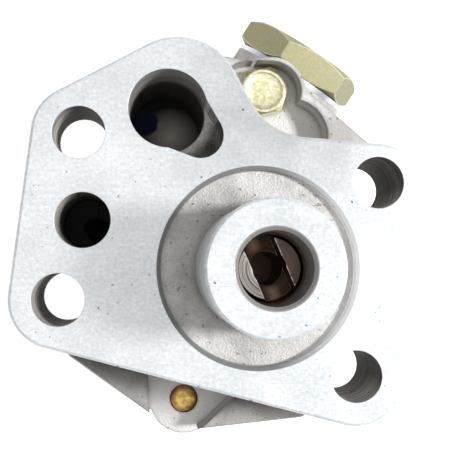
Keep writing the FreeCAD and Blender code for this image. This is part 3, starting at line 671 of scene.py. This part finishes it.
# %% Material: front casting
def front_casting():
    material, tree, shader, place = start_material("front_casting")
    at = mark_out(tree, place)
    machined, drilled, port = at["machined"], at["drilled"], at["port"]
    sand = use(tree, sand_grain, {"Place": place, "Grains per metre": 1500.0})
    mill = use(tree, milling, {"Place": place})
    turn = use(tree, turning, {"Place": place, "Rings per metre": 3200.0})
    port_tint, slot = port_skin(tree, place, at, sand, mill, turn)

    tint = cast_skin(tree, place, at, sand)
    tint = blend_colour(tree, machined, tint, machined_skin(tree, place, at, mill, turn))
    tint = blend_colour(tree, drilled, tint, drilled_skin(tree, at, turn))
    tint = blend_colour(tree, port, tint, port_tint)

    dark = either(tree, drilled, port)
    rough = calc(tree, "MULTIPLY_ADD", sand["Tone"], 0.2, 0.5)
    fine = calc(tree, "MULTIPLY_ADD", mill["Tone"], 0.25, 0.22)
    roughness = blend_value(tree, dark, blend_value(tree, machined, rough, fine), 0.7)
    shiny = either(tree, machined, times(tree, port, over(tree, at["z"], -16.0 * MM)))
    bare = either(tree, drilled, times(tree, port, slot))
    metal = times(tree, blend_value(tree, shiny, 0.25, 0.42), off(tree, bare))

    smooth = either(tree, machined, dark)
    height = blend_value(tree, smooth, sand["Height"], times(tree, mill["Height"], 0.12))
    crisp = either(tree, smooth, over(tree, at["z"], PLATE_BACK_Z))
    foot = times(tree, under(tree, at["radius"], SNOUT_R + 4.0 * MM),
                 under(tree, at["z"], RECESS_Z + 2.0 * MM))
    bend = times(tree, blend_value(tree, crisp, 1.3 * MM, 0.3 * MM), off(tree, foot))
    worn = finish_normal(tree, shader, height, 0.2 * MM, bend, 0.9)
    worn = times(tree, worn, crisp, off(tree, dark), 0.25)
    coat(tree, shader, blend_colour(tree, worn, tint, grey(236)), roughness, metal)
    return material


FRONT = front_casting()
print("front casting nodes:", len(FRONT.node_tree.nodes))


# %% [markdown]
# ## The castings behind
#
# The body and the cover are sand cast too, but nobody faced them where they
# show. They keep the grain all over, a little darker, with painted shade in the
# corners.
# The groups above hold all of that, so this material only sets their values.

# %% Material: rear castings
def sand_cast(name, dark, light, warm=3):
    material, tree, shader, place = start_material(name)
    sand = use(tree, sand_grain, {"Place": place, "Grains per metre": 1300.0})
    tint = blend_colour(tree, ramp(tree, sand["Tone"], 0.35, 0.65), grey(dark, warm),
                        grey(light, warm))
    tint = blend_colour(tree, times(tree, sand["Pores"], 0.6), tint, grey(70, 3))
    # Painted shade: corners are darkened to a dark grey.
    painted_shade = use(tree, corner_shade, {"Place": place, "Reach": 7.0 * MM, "Amount": 0.6})
    tint = blend_colour(tree, painted_shade["Mask"], tint, grey(88, 4))
    worn = finish_normal(tree, shader, sand["Height"], 0.2 * MM, 1.2 * MM, 0.9)
    tint = blend_colour(tree, times(tree, worn, 0.2), tint, grey(224, 2))
    coat(tree, shader, tint, calc(tree, "MULTIPLY_ADD", sand["Tone"], 0.2, 0.5), 0.25)
    return material


BODY_CAST = sand_cast("body_casting", 184, 222)
COVER_CAST = sand_cast("cover_casting", 188, 226, 2)
print("rear castings:", BODY_CAST.name, COVER_CAST.name)


# %% [markdown]
# ## Turned, ground and drawn steel
#
# Gears, pins and the piston are ground, so they are pale and fine. The spring's
# wire is blued, and the sealing ring is bare aluminium. Grooves could be
# modelled, but they are hundredths of a millimetre deep, so they are a bump. One
# function makes all these metals from two tones and the pitch of the tool marks.

# %% Material: turned steel
def turned_steel(name, dark, light, rings, roughness, depth, edge=0.25 * MM, wear=0.5):
    """A turned metal; also returns its tree, shader, place and colour to build on."""
    material, tree, shader, place = start_material(name)
    turn = use(tree, turning, {"Place": place, "Rings per metre": rings})
    haze = noise(tree, place, 240.0, 3.0)
    tint = blend_colour(tree, ramp(tree, turn["Tone"], 0.35, 0.65), dark, light)
    tint = blend_colour(tree, ramp(tree, haze, 0.45, 0.75, 0.0, 0.45), tint, dark)
    worn = finish_normal(tree, shader, turn["Height"], depth, edge, 0.7)
    tint = blend_colour(tree, times(tree, worn, wear), tint, grey(226, 2))
    coat(tree, shader, tint, calc(tree, "MULTIPLY_ADD", haze, 0.15, roughness), 1.0)
    return material, tree, shader, place, tint


GEAR_STEEL = turned_steel("gear_steel", grey(112, 2), grey(158, 1), 2200.0, 0.26, 0.01 * MM)[0]
PIN_STEEL = turned_steel("ground_steel", grey(150, 1), grey(190), 5000.0, 0.2, 0.004 * MM)[0]
SPRING_STEEL = turned_steel("spring_steel", colour(58, 58, 66), colour(112, 110, 112), 900.0,
                            0.3, 0.004 * MM)[0]
WASHER_METAL = turned_steel("washer_metal", colour(186, 188, 196), colour(222, 223, 230),
                            2600.0, 0.3, 0.008 * MM)[0]
print("metals:", GEAR_STEEL.name, PIN_STEEL.name, SPRING_STEEL.name, WASHER_METAL.name)


# %% [markdown]
# ### Bearing bronze
#
# The bushes are bronze. The front one reaches up into the snout's mouth, and it
# turns dark brown more and more towards the top. It starts from the turned
# metal above, and only lays that darkening over its colour.

# %% Material: bearing bronze
def darkened_bronze():
    material, tree, shader, place, tint = turned_steel(
        "bearing_bronze", colour(124, 98, 64), colour(170, 138, 94), 3600.0, 0.4, 0.006 * MM,
        wear=0.1)
    darkening = ramp(tree, split(tree, place)[2], 4.0 * MM, 14.0 * MM, 0.0, 0.93)
    tint = blend_colour(tree, darkening, tint, colour(52, 43, 35))
    tree.links.new(tint, shader.inputs["Base Color"])
    return material


BRONZE = darkened_bronze()
print("bronze:", BRONZE.name)


# %% [markdown]
# ### The drive shaft
#
# Oil has browned the slot, and the hole in it is painted dark as shade. The end
# face keeps bright rings on its left half, and its right half is painted dark
# as the shade of the bore's wall. A burr runs along the slot's edges, and its
# highlight is painted on as a pale line. The slot's floor has a painted
# highlight beside the hole, and below the bush the steel is clean.
# A material for each of them would need cuts in the mesh, so places tell them
# apart: the height, the distance from the axis, and that from the slot's middle.

# %% Material: drive shaft
def shaft_steel():
    material, tree, shader, place, tint = turned_steel(
        "shaft_steel", colour(34, 26, 21), colour(62, 47, 38), 2600.0, 0.24, 0.006 * MM,
        wear=0.8)
    x, y, z = split(tree, place)
    radius = length(tree, flat(tree, x, y))
    off_middle = dot(tree, place, (-math.sin(SLOT_TURN), math.cos(SLOT_TURN), 0.0))

    turn = use(tree, turning, {"Place": place, "Rings per metre": 4600.0})
    face = blend_colour(tree, ramp(tree, turn["Tone"], 0.4, 0.6), colour(66, 58, 52),
                        colour(190, 184, 178))
    to_right = calc(tree, "MULTIPLY_ADD", noise(tree, place, 500.0), 2.0 * MM, x)
    # Painted shade: the right half of the end face is darkened.
    oil_and_shade = ramp(tree, to_right, 0.0, 3.0 * MM, 0.0, 0.93)
    face = blend_colour(tree, oil_and_shade, face, colour(68, 56, 48))
    from_edge = calc(tree, "SUBTRACT", calc(tree, "ABSOLUTE", off_middle), SLOT_WIDTH / 2)
    # A real burr, with its highlight painted on as a pale line.
    burr_and_highlight = times(tree, ramp(tree, from_edge, 0.26 * MM, 0.1 * MM),
                 ramp(tree, noise(tree, place, 900.0), 0.42, 0.55, 0.0, 0.8))
    face = blend_colour(tree, burr_and_highlight, face, colour(206, 198, 188))

    # Painted highlight along the slot's floor.
    from_highlight = calc(tree, "ABSOLUTE", calc(tree, "ADD", off_middle, 0.7 * MM))
    highlight = times(
        tree,
        ramp(tree, from_highlight, 1.9 * MM, 0.2 * MM),
        ramp(tree, radius, 3.9 * MM, 5.4 * MM, 0.0, 0.5),
        under(tree, z, SHAFT_TOP - 6.0 * MM),
    )
    tint = blend_colour(tree, highlight, tint, colour(136, 112, 92))
    clean = blend_colour(tree, ramp(tree, turn["Tone"], 0.35, 0.65), grey(134, 1), grey(176))
    tint = blend_colour(tree, ramp(tree, z, 9.0 * MM, 1.0 * MM), tint, clean)
    tint = blend_colour(tree, over(tree, z, SHAFT_TOP - 0.15 * MM), tint, face)
    # Painted shade: the hole is darkened.
    hole = times(tree, under(tree, radius, SHAFT_HOLE_R + 0.05 * MM),
                 under(tree, z, SHAFT_TOP - SLOT_DEPTH - 0.2 * MM))
    tint = blend_colour(tree, hole, tint, colour(44, 36, 30))
    tree.links.new(tint, shader.inputs["Base Color"])
    return material


SHAFT_STEEL = shaft_steel()
print("shaft nodes:", len(SHAFT_STEEL.node_tree.nodes))


# %% [markdown]
# ## Yellow zinc
#
# The bolts and the valve plug are zinc plated and passivated. The film is so
# thin that its colour drifts between straw, olive and a trace of pink. A thin
# film shader could work those colours out, but they are hard to steer. Two
# noises mix the three colours, and the plating is rubbed pale at the corners.

# %% Material: yellow zinc
def yellow_zinc(name, straw, olive, blush, blotch=900.0, roughness=0.3, edge=0.15 * MM,
                wear=0.6):
    material, tree, shader, place = start_material(name)
    fine = noise(tree, place, blotch, 4.0, 0.7)
    slow = noise(tree, place, blotch * 0.16, 2.0)
    tint = blend_colour(tree, ramp(tree, fine, 0.36, 0.64), olive, straw)
    tint = blend_colour(tree, ramp(tree, slow, 0.55, 0.75, 0.0, 0.6), tint, blush)
    worn = finish_normal(tree, shader, fine, 0.03 * MM, edge, 0.7)
    tint = blend_colour(tree, times(tree, worn, wear), tint, colour(244, 243, 226))
    coat(tree, shader, tint, calc(tree, "MULTIPLY_ADD", fine, 0.2, roughness), 1.0)
    return material


PINK = colour(236, 210, 168)
BOLT_ZINC = yellow_zinc("bolt_zinc", colour(247, 245, 220), colour(204, 198, 142), PINK)
TIP_ZINC = yellow_zinc("bolt_tip_zinc", colour(244, 240, 196), colour(196, 190, 128), PINK,
                       roughness=0.26)
# The plug's corners are worn pale at full strength: partly real wear, partly a painted highlight
# along its edges.
PLUG_ZINC = yellow_zinc("plug_zinc", colour(162, 160, 128), colour(150, 145, 112),
                        colour(156, 150, 136), 1100.0, 0.4, 0.5 * MM, 1.0)
print("plated finishes:", BOLT_ZINC.name, TIP_ZINC.name, PLUG_ZINC.name)

# %% [markdown]
# ### The tips of the rear bolts
#
# At the tips the film is deeper. Each is gold, with a rim that drifts between
# pink and brown. The rim follows the distance from the bolt's own axis, so the
# same few nodes serve all three bolts.

# %% Gild the tips
REAR_BOLTS = ((-16.4, -37.5), (25.5, -1.0), (-44.0, 11.0))
TIPS_Z = -46.0 * MM
FAR_OFF = 1.0


def gild_tips(material, places, top):
    """Lays gold on what is higher than the top, by the distance from each place."""
    tree = material.node_tree
    colour_input = tree.nodes["Principled BSDF"].inputs["Base Color"]
    tint = colour_input.links[0].from_socket
    place = add(tree, "ShaderNodeTexCoord").outputs["Object"]
    x, y, z = split(tree, place)
    level = flat(tree, x, y)
    nearest = FAR_OFF
    for bolt_x, bolt_y in places:
        gap = distance(tree, level, (bolt_x * MM, bolt_y * MM, 0.0))
        nearest = calc(tree, "MINIMUM", gap, nearest)
    gold = blend_colour(tree, ramp(tree, noise(tree, place, 700.0), 0.4, 0.6),
                        colour(172, 138, 72), colour(216, 186, 114))
    rim = blend_colour(tree, ramp(tree, noise(tree, place, 260.0, 1.0), 0.42, 0.58),
                       colour(226, 140, 120), colour(150, 104, 48))
    gold = blend_colour(tree, ramp(tree, nearest, 2.7 * MM, 3.4 * MM, 0.0, 0.85), gold, rim)
    tree.links.new(blend_colour(tree, over(tree, z, top), tint, gold), colour_input)


gild_tips(TIP_ZINC, REAR_BOLTS, TIPS_Z)
print("gold above", round(TIPS_Z / MM), "mm on", len(REAR_BOLTS), "bolts")


# %% [markdown]
# ## Gasket paper
#
# The last finish is oiled paper. It shows only as a thin line between castings,
# so fine noise is enough for its fibres, and a slow one for its oil stains.

# %% Material: gasket paper
def gasket_paper():
    material, tree, shader, place = start_material("gasket_paper")
    fibres = noise(tree, place, 2600.0, 5.0, 0.7)
    oil_and_shade = noise(tree, place, 90.0, 2.0)
    tint = blend_colour(tree, ramp(tree, fibres, 0.35, 0.65), colour(78, 70, 56),
                        colour(126, 116, 96))
    tint = blend_colour(tree, ramp(tree, oil_and_shade, 0.5, 0.7, 0.0, 0.6), tint, colour(56, 46, 34))
    bump = add(tree, "ShaderNodeBump", {"Distance": 0.03 * MM, "Height": fibres})
    tree.links.new(bump.outputs[0], shader.inputs["Normal"])
    coat(tree, shader, tint, 0.8, 0.0)
    return material


PAPER = gasket_paper()
print("paper:", PAPER.name)

# %% [markdown]
# ## Give each CAD piece its finish
#
# A CAD piece keeps its mesh and its place. Only its material slot changes. The
# list goes by finish, so that it shows which pieces are made of the same stuff.

# %% Dress the CAD pieces
FINISHES = [
    (FRONT, "front_flange front_column front_platform front_port_foot front_snout"),
    (BODY_CAST, "pump_body"),
    (COVER_CAST, "rear_cover"),
    (PAPER, "body_gasket cover_gasket"),
    (SHAFT_STEEL, "drive_shaft"),
    (GEAR_STEEL, "drive_key drive_gear idler_gear"),
    (PIN_STEEL, "gallery_plug idler_pin spring_shim relief_piston body_dowels"),
    (BRONZE, "idler_bush front_bush middle_bush rear_bush"),
    (PLUG_ZINC, "relief_plug"),
    (WASHER_METAL, "plug_washer"),
    (SPRING_STEEL, "relief_spring"),
    (BOLT_ZINC, "front_bolt rear_bolts"),
]
finish_of = {name: material for material, names in FINISHES for name in names.split()}
for name, material in finish_of.items():
    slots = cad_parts[name].data.materials
    slots.clear()
    slots.append(material)
print("dressed", len(finish_of), "of", len(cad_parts), "nodes")


# %% [markdown]
# ## Grow pieces by rule
#
# A spring and a set of bolts are rules, not shapes to model by hand, so Geometry
# Nodes make them. Both trees end in the same way, and both results are turned
# into plain meshes whose object stays at the origin.

# %% Helpers for grown pieces
def put(name, data):
    """A new object in the scene, at the origin."""
    thing = bpy.data.objects.new(name, data)
    bpy.context.scene.collection.objects.link(thing)
    return thing


def end_tree(tree, leave, geometry, finish):
    """Makes instances real, sets the finish and hands the geometry out."""
    real = add(tree, "GeometryNodeRealizeInstances", {0: geometry})
    painted = add(tree, "GeometryNodeSetMaterial", {
        "Geometry": real.outputs[0], "Material": finish})
    give_out(tree, leave, {"Geometry": painted.outputs[0]})


def grow(name, tree, values, places=()):
    """Runs a geometry tree on a few points, or on none, and returns a smooth piece."""
    points = bpy.data.meshes.new(name + "_seed")
    points.from_pydata(list(places), [], [])
    seed = put(name + "_seed", points)
    modifier = seed.modifiers.new("grow", "NODES")
    modifier.node_group = tree
    for item in tree.interface.items_tree:
        if getattr(item, "in_out", "") == "INPUT" and item.name in values:
            modifier[item.identifier] = values[item.name]
    depsgraph = bpy.context.evaluated_depsgraph_get()
    mesh = bpy.data.meshes.new_from_object(seed.evaluated_get(depsgraph))
    mesh.name = name
    bpy.data.objects.remove(seed)
    mesh.polygons.foreach_set("use_smooth", [True] * len(mesh.polygons))
    return put(name, mesh)


print("grown pieces go into", bpy.context.scene.collection.name)

# %% [markdown]
# ### The relief spring
#
# The spring behind the relief piston is round wire wound at one pitch. A Screw
# modifier could wind it too. Here it is a spiral curve with a round profile
# swept along it, because then each size has a name, and another spring is only
# other numbers.

# %% Build the spring's node tree
SPRING_R = 4.0 * MM
WIRE_R = 0.6 * MM
SPRING_TURNS = 9
SPRING_LOW = -34.35 * MM
SPRING_HIGH = -3.65 * MM
SPRING_LENGTH = SPRING_HIGH - SPRING_LOW
STEPS_ALONG, STEPS_ROUND = 28, 14
spring_tree, enter, leave = start_group("Wound spring", [
    ("Coil radius", FLOAT, SPRING_R),
    ("Wire radius", FLOAT, WIRE_R),
    ("Turns", FLOAT, SPRING_TURNS),
    ("Free length", FLOAT, SPRING_LENGTH),
    ("Finish", MATERIAL, None),
], [("Geometry", GEOMETRY)], "GeometryNodeTree")
spiral = add(spring_tree, "GeometryNodeCurveSpiral", {
    "Resolution": STEPS_ALONG,
    "Rotations": enter["Turns"],
    "Start Radius": enter["Coil radius"],
    "End Radius": enter["Coil radius"],
    "Height": enter["Free length"],
})
profile = add(spring_tree, "GeometryNodeCurvePrimitiveCircle", {
    "Resolution": STEPS_ROUND, "Radius": enter["Wire radius"]}, mode="RADIUS")
wire = add(spring_tree, "GeometryNodeCurveToMesh", {
    "Curve": spiral.outputs["Curve"],
    "Profile Curve": profile.outputs["Curve"],
    "Fill Caps": True,
})
end_tree(spring_tree, leave, wire.outputs[0], enter["Finish"])

# %% [markdown]
# The spring is laid along the valve's axis, in the mesh itself, at one length.
# In the pump it shortens towards the plug as the piston slides back, with its
# plug end staying put, but nothing here makes it shorten.

# %% Wind the spring and lay it in the valve
spring = grow("valve_spring", spring_tree, {"Finish": SPRING_STEEL})
to_axis = Vector((0.0, 0.0, 1.0)).rotation_difference(VALVE_AXIS).to_matrix().to_4x4()
spring.data.transform(Matrix.Translation((0.0, 0.0, SPRING_LOW)))
spring.data.transform(Matrix.Translation(VALVE_SEAT) @ to_axis)
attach(spring, "housing")
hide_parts("relief_spring")
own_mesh(spring)
print("spring faces:", len(spring.data.polygons))

# %% [markdown]
# ### Bolts
#
# All four bolts are the same M8 hexagon bolt in two lengths. The head is a
# hexagon whose corners a 30 degree cone has cut back, with a dished top and a
# thin washer face below. Booleans could cut all that, but they leave poor faces
# where a thread runs out. Rings of points give clean ones: each ring says how
# far out it is and how high, by the angle. The thread is a helix, so there the
# radius depends on the height and the angle together. The heads are left plain.

# %% The mesh of one bolt
FLATS = 13.0 * MM
HEAD = 5.3 * MM
CROWN_R = FLATS / 2 * 0.94
CHAMFER = math.radians(30)
WASHER_FACE = 0.4 * MM
SHANK_R = 4.0 * MM
PITCH = 1.25 * MM
THREAD_DEPTH = 0.6 * MM
THREAD_END = 0.9 * MM
POINT_CUT = 1.2 * MM
STEPS_PER_THREAD = 6
AROUND = 72
# The dish is radius in mm and share of its depth, the tip radius and height in mm.
DISH = 0.45 * MM
DISH_RINGS = ((3.6, 1.0), (4.6, 0.85), (5.2, 0.3), (5.45, 0.0))
TIP_RINGS = ((3.65, 0.8), (3.2, 0.5), (2.7, 0.28), (2.0, 0.12), (1.0, 0.03))


def circle(r, z):
    """A ring that is the same at every angle."""
    return lambda angle: (r, z)


def bolt_rings(reach, threaded, turn):
    """The bolt's outline from head to tip: each ring gives radius and height by angle."""
    def hexagon(angle):
        from_corner = (angle - turn) % math.radians(60) - math.radians(30)
        return FLATS / 2 / math.cos(from_corner)

    def thread(angle, z):
        if z > -reach + threaded:
            return SHANK_R
        share = (z / PITCH + angle / math.tau) % 1.0
        groove = THREAD_DEPTH * (1 - abs(2 * share - 1))
        return min(SHANK_R - groove, SHANK_R - POINT_CUT + (z + reach))

    rings = [circle(r * MM, HEAD - DISH * share) for r, share in DISH_RINGS]
    rings += [
        circle(CROWN_R, HEAD),
        lambda a: (hexagon(a), HEAD - (hexagon(a) - CROWN_R) * math.tan(CHAMFER)),
        lambda a: (hexagon(a), WASHER_FACE),
        circle(CROWN_R, WASHER_FACE),
        circle(CROWN_R, 0.0),
        circle(SHANK_R, 0.0),
    ]
    start, end = -reach + threaded, -reach + THREAD_END
    steps = round((start - end) / (PITCH / STEPS_PER_THREAD))
    for k in range(steps + 1):
        z = start - (start - end) * k / steps
        rings.append(lambda a, z=z: (thread(a, z), z))
    return rings + [circle(r * MM, z * MM - reach) for r, z in TIP_RINGS]


def bolt_mesh(name, reach, threaded, turn):
    """A bolt along Z, with its head above zero and its shank below."""
    rings = bolt_rings(reach, threaded, turn)
    points = []
    for ring in rings:
        for k in range(AROUND):
            angle = math.tau * k / AROUND
            r, z = ring(angle)
            points.append((r * math.cos(angle), r * math.sin(angle), z))
    top, tip = len(points), len(points) + 1
    points += [(0.0, 0.0, HEAD - DISH), (0.0, 0.0, -reach)]
    last = (len(rings) - 1) * AROUND
    faces = []
    for start in range(0, last, AROUND):
        for k in range(AROUND):
            a, b = start + k, start + (k + 1) % AROUND
            faces.append((a, a + AROUND, b + AROUND, b))
    for k in range(AROUND):
        n = (k + 1) % AROUND
        faces.append((top, k, n))
        faces.append((tip, last + n, last + k))
    mesh = bpy.data.meshes.new(name)
    mesh.from_pydata(points, [], faces)
    mesh.update()
    return mesh


print("threads are", PITCH / MM, "mm apart")

# %% [markdown]
# Geometry Nodes set the bolts in place: one bolt is an instance on each point,
# turned over where its head is at the back. Copies could be moved by hand, but
# this way their number and places are only a list of points.

# %% Build the bolt set's node tree
set_tree, enter, leave = start_group("Bolt set", [
    ("Places", GEOMETRY, None),
    ("Bolt", "NodeSocketObject", None),
    ("Turn over", VECTOR, None),
    ("Finish", MATERIAL, None),
], [("Geometry", GEOMETRY)], "GeometryNodeTree")
source = add(set_tree, "GeometryNodeObjectInfo", {"Object": enter["Bolt"]})
placed = add(set_tree, "GeometryNodeInstanceOnPoints", {
    "Points": enter["Places"],
    "Instance": source.outputs["Geometry"],
    "Rotation": enter["Turn over"],
})
end_tree(set_tree, leave, placed.outputs[0], enter["Finish"])

# %% [markdown]
# One short bolt is set from the front, and three long ones from behind. The
# short one and the three together are a piece each.

# %% Set the bolts
SHORT_REACH, SHORT_THREAD = 19.0 * MM, 12.0 * MM
LONG_REACH, LONG_THREAD = 54.8 * MM, 22.0 * MM
FRONT_BOLT = (6.2 * MM, 50.5 * MM, -45.3 * MM)
REAR_HEADS_Z = -99.2 * MM
SHARP_ANGLE = math.radians(28)


def set_bolts(name, mesh, places, over_turn, finish, node):
    """Grows one piece with a bolt on each place, and puts it where the node was."""
    bolt = put(name + "_one", mesh)
    values = {"Bolt": bolt, "Turn over": over_turn, "Finish": finish}
    piece = grow(name, set_tree, values, places)
    bpy.data.objects.remove(bolt)
    piece.data.set_sharp_from_angle(angle=SHARP_ANGLE)
    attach(piece, "housing")
    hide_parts(node)
    return piece


front_set = set_bolts(
    "front_hex_bolt", bolt_mesh("short_bolt", SHORT_REACH, SHORT_THREAD, math.radians(13)),
    [FRONT_BOLT], (0.0, 0.0, 0.0), BOLT_ZINC, "front_bolt")
rear_set = set_bolts(
    "rear_hex_bolts", bolt_mesh("long_bolt", LONG_REACH, LONG_THREAD, math.radians(30)),
    [(x * MM, y * MM, REAR_HEADS_Z) for x, y in REAR_BOLTS], (math.pi, 0.0, 0.0), TIP_ZINC,
    "rear_bolts")
print("bolt faces:", len(front_set.data.polygons), len(rear_set.data.polygons))

# %% [markdown]
# ## Floor and world
#
# The pump stands on its cover with the snout up. The floor glows white, but only
# for the camera and in reflections, and otherwise it is plain pale paint. The
# glow grows with the distance from the pump, so that the floor is softly grey
# below it and meets the world without a line at the horizon. Lamps strong enough
# to whiten the floor would bleach the pump, which is why the floor helps itself.

# %% Floor
FLOOR_HALF = 2.0
FLOOR_GAP = 0.2 * MM
GLOW_NEAR, GLOW_FAR = 0.25, 0.9
GLOW_DIM, GLOW_FULL = 0.75, 1.0


def white_floor():
    mesh = bpy.data.meshes.new("floor")
    z = FLOOR_Z - FLOOR_GAP
    corners = [(x * FLOOR_HALF, y * FLOOR_HALF, z)
               for x, y in ((-1, -1), (1, -1), (1, 1), (-1, 1))]
    mesh.from_pydata(corners, [], [(0, 1, 2, 3)])
    floor = put("floor", mesh)
    material = bpy.data.materials.new("floor_white")
    material.use_nodes = True
    tree = material.node_tree
    tree.nodes.clear()
    ray = add(tree, "ShaderNodeLightPath").outputs
    seen = either(tree, ray["Is Glossy Ray"], ray["Is Transmission Ray"], ray["Is Camera Ray"])
    place = add(tree, "ShaderNodeTexCoord").outputs["Object"]
    reach = ramp(tree, length(tree, place), GLOW_NEAR, GLOW_FAR, GLOW_DIM, GLOW_FULL)
    paint = add(tree, "ShaderNodeBsdfDiffuse", {"Color": grey(236)})
    glow = add(tree, "ShaderNodeEmission", {
        "Color": grey(255), "Strength": times(tree, seen, reach)})
    both = add(tree, "ShaderNodeAddShader", {0: paint.outputs[0], 1: glow.outputs[0]})
    add(tree, "ShaderNodeOutputMaterial", {"Surface": both.outputs[0]})
    mesh.materials.append(material)
    return floor


floor = white_floor()
print("floor at", round(FLOOR_Z / MM, 1), "mm")

# %% [markdown]
# The world is white where it is seen. It lights the pump only a little, and it
# is of middle strength in mirrored light, so that metal has something to show.

# %% World
SKY_LIGHT, SKY_MIRRORED = 0.24, 0.6
world = bpy.data.worlds.new("studio")
bpy.context.scene.world = world
world.use_nodes = True
tree = world.node_tree
ray = add(tree, "ShaderNodeLightPath").outputs
light = ramp(tree, ray["Is Glossy Ray"], 0.0, 1.0, SKY_LIGHT, SKY_MIRRORED)
seen = either(tree, ray["Is Camera Ray"], ray["Is Transmission Ray"])
feed(tree, tree.nodes["Background"], {
    "Color": grey(255), "Strength": either(tree, light, seen)})
print("the world lights with", SKY_LIGHT, "and mirrors", SKY_MIRRORED)


# %% [markdown]
# ## Lamps
#
# Plain studio light: a large soft panel above, and one smaller lamp at the
# right that throws the snout's soft shadow to the left across the flange. A
# picture of a room could light it too, but two lamps can be aimed one by one.

# %% Lamps
def panel(name, place, target, size, power):
    """A square soft lamp that faces its target."""
    light = bpy.data.lights.new(name, "AREA")
    light.shape = "SQUARE"
    light.size = size
    light.energy = power
    lamp = put(name, light)
    lamp.location = place
    aim = Vector(target) - Vector(place)
    lamp.rotation_euler = aim.to_track_quat("-Z", "Y").to_euler()
    return lamp


panel("panel_above", (-0.12, -0.12, 1.05), (0.0, 0.0, 0.0), 0.9, 2.0)
panel("lamp_right", (0.62, 0.02, 0.66), (-0.01, 0.0, 0.0), 0.16, 7.0)

# %% [markdown]
# ## Camera
#
# The camera stands close above the flange, a little left of the snout. That is
# why the snout's far end looks larger than its foot, and why each hole shows
# one side of its wall. Three circles round the shaft's axis, at three heights,
# give its place away, because each of them shifts and shrinks with its depth.

# %% Camera
EYE = Vector((-26.26, 1.10, 220.0)) * MM
TARGET = Vector((-8.03, 10.07, 0.0)) * MM
SENSOR = 36.0
PICTURE_WIDTH, FOCAL_PIXELS = 452.0, 920.63
back = (EYE - TARGET).normalized()
right = Vector((0.0, 1.0, 0.0)).cross(back).normalized()
turn = Matrix((right, back.cross(right), back)).transposed()
camera_data = bpy.data.cameras.new("camera")
camera_data.sensor_width = SENSOR
camera_data.lens = SENSOR * FOCAL_PIXELS / PICTURE_WIDTH
camera_data.clip_start = 0.01
camera = put("camera", camera_data)
camera.matrix_world = Matrix.Translation(EYE) @ turn.to_4x4()
bpy.context.scene.camera = camera
bpy.context.scene.view_settings.view_transform = "Standard"
print("lens:", round(camera_data.lens, 1), "mm")
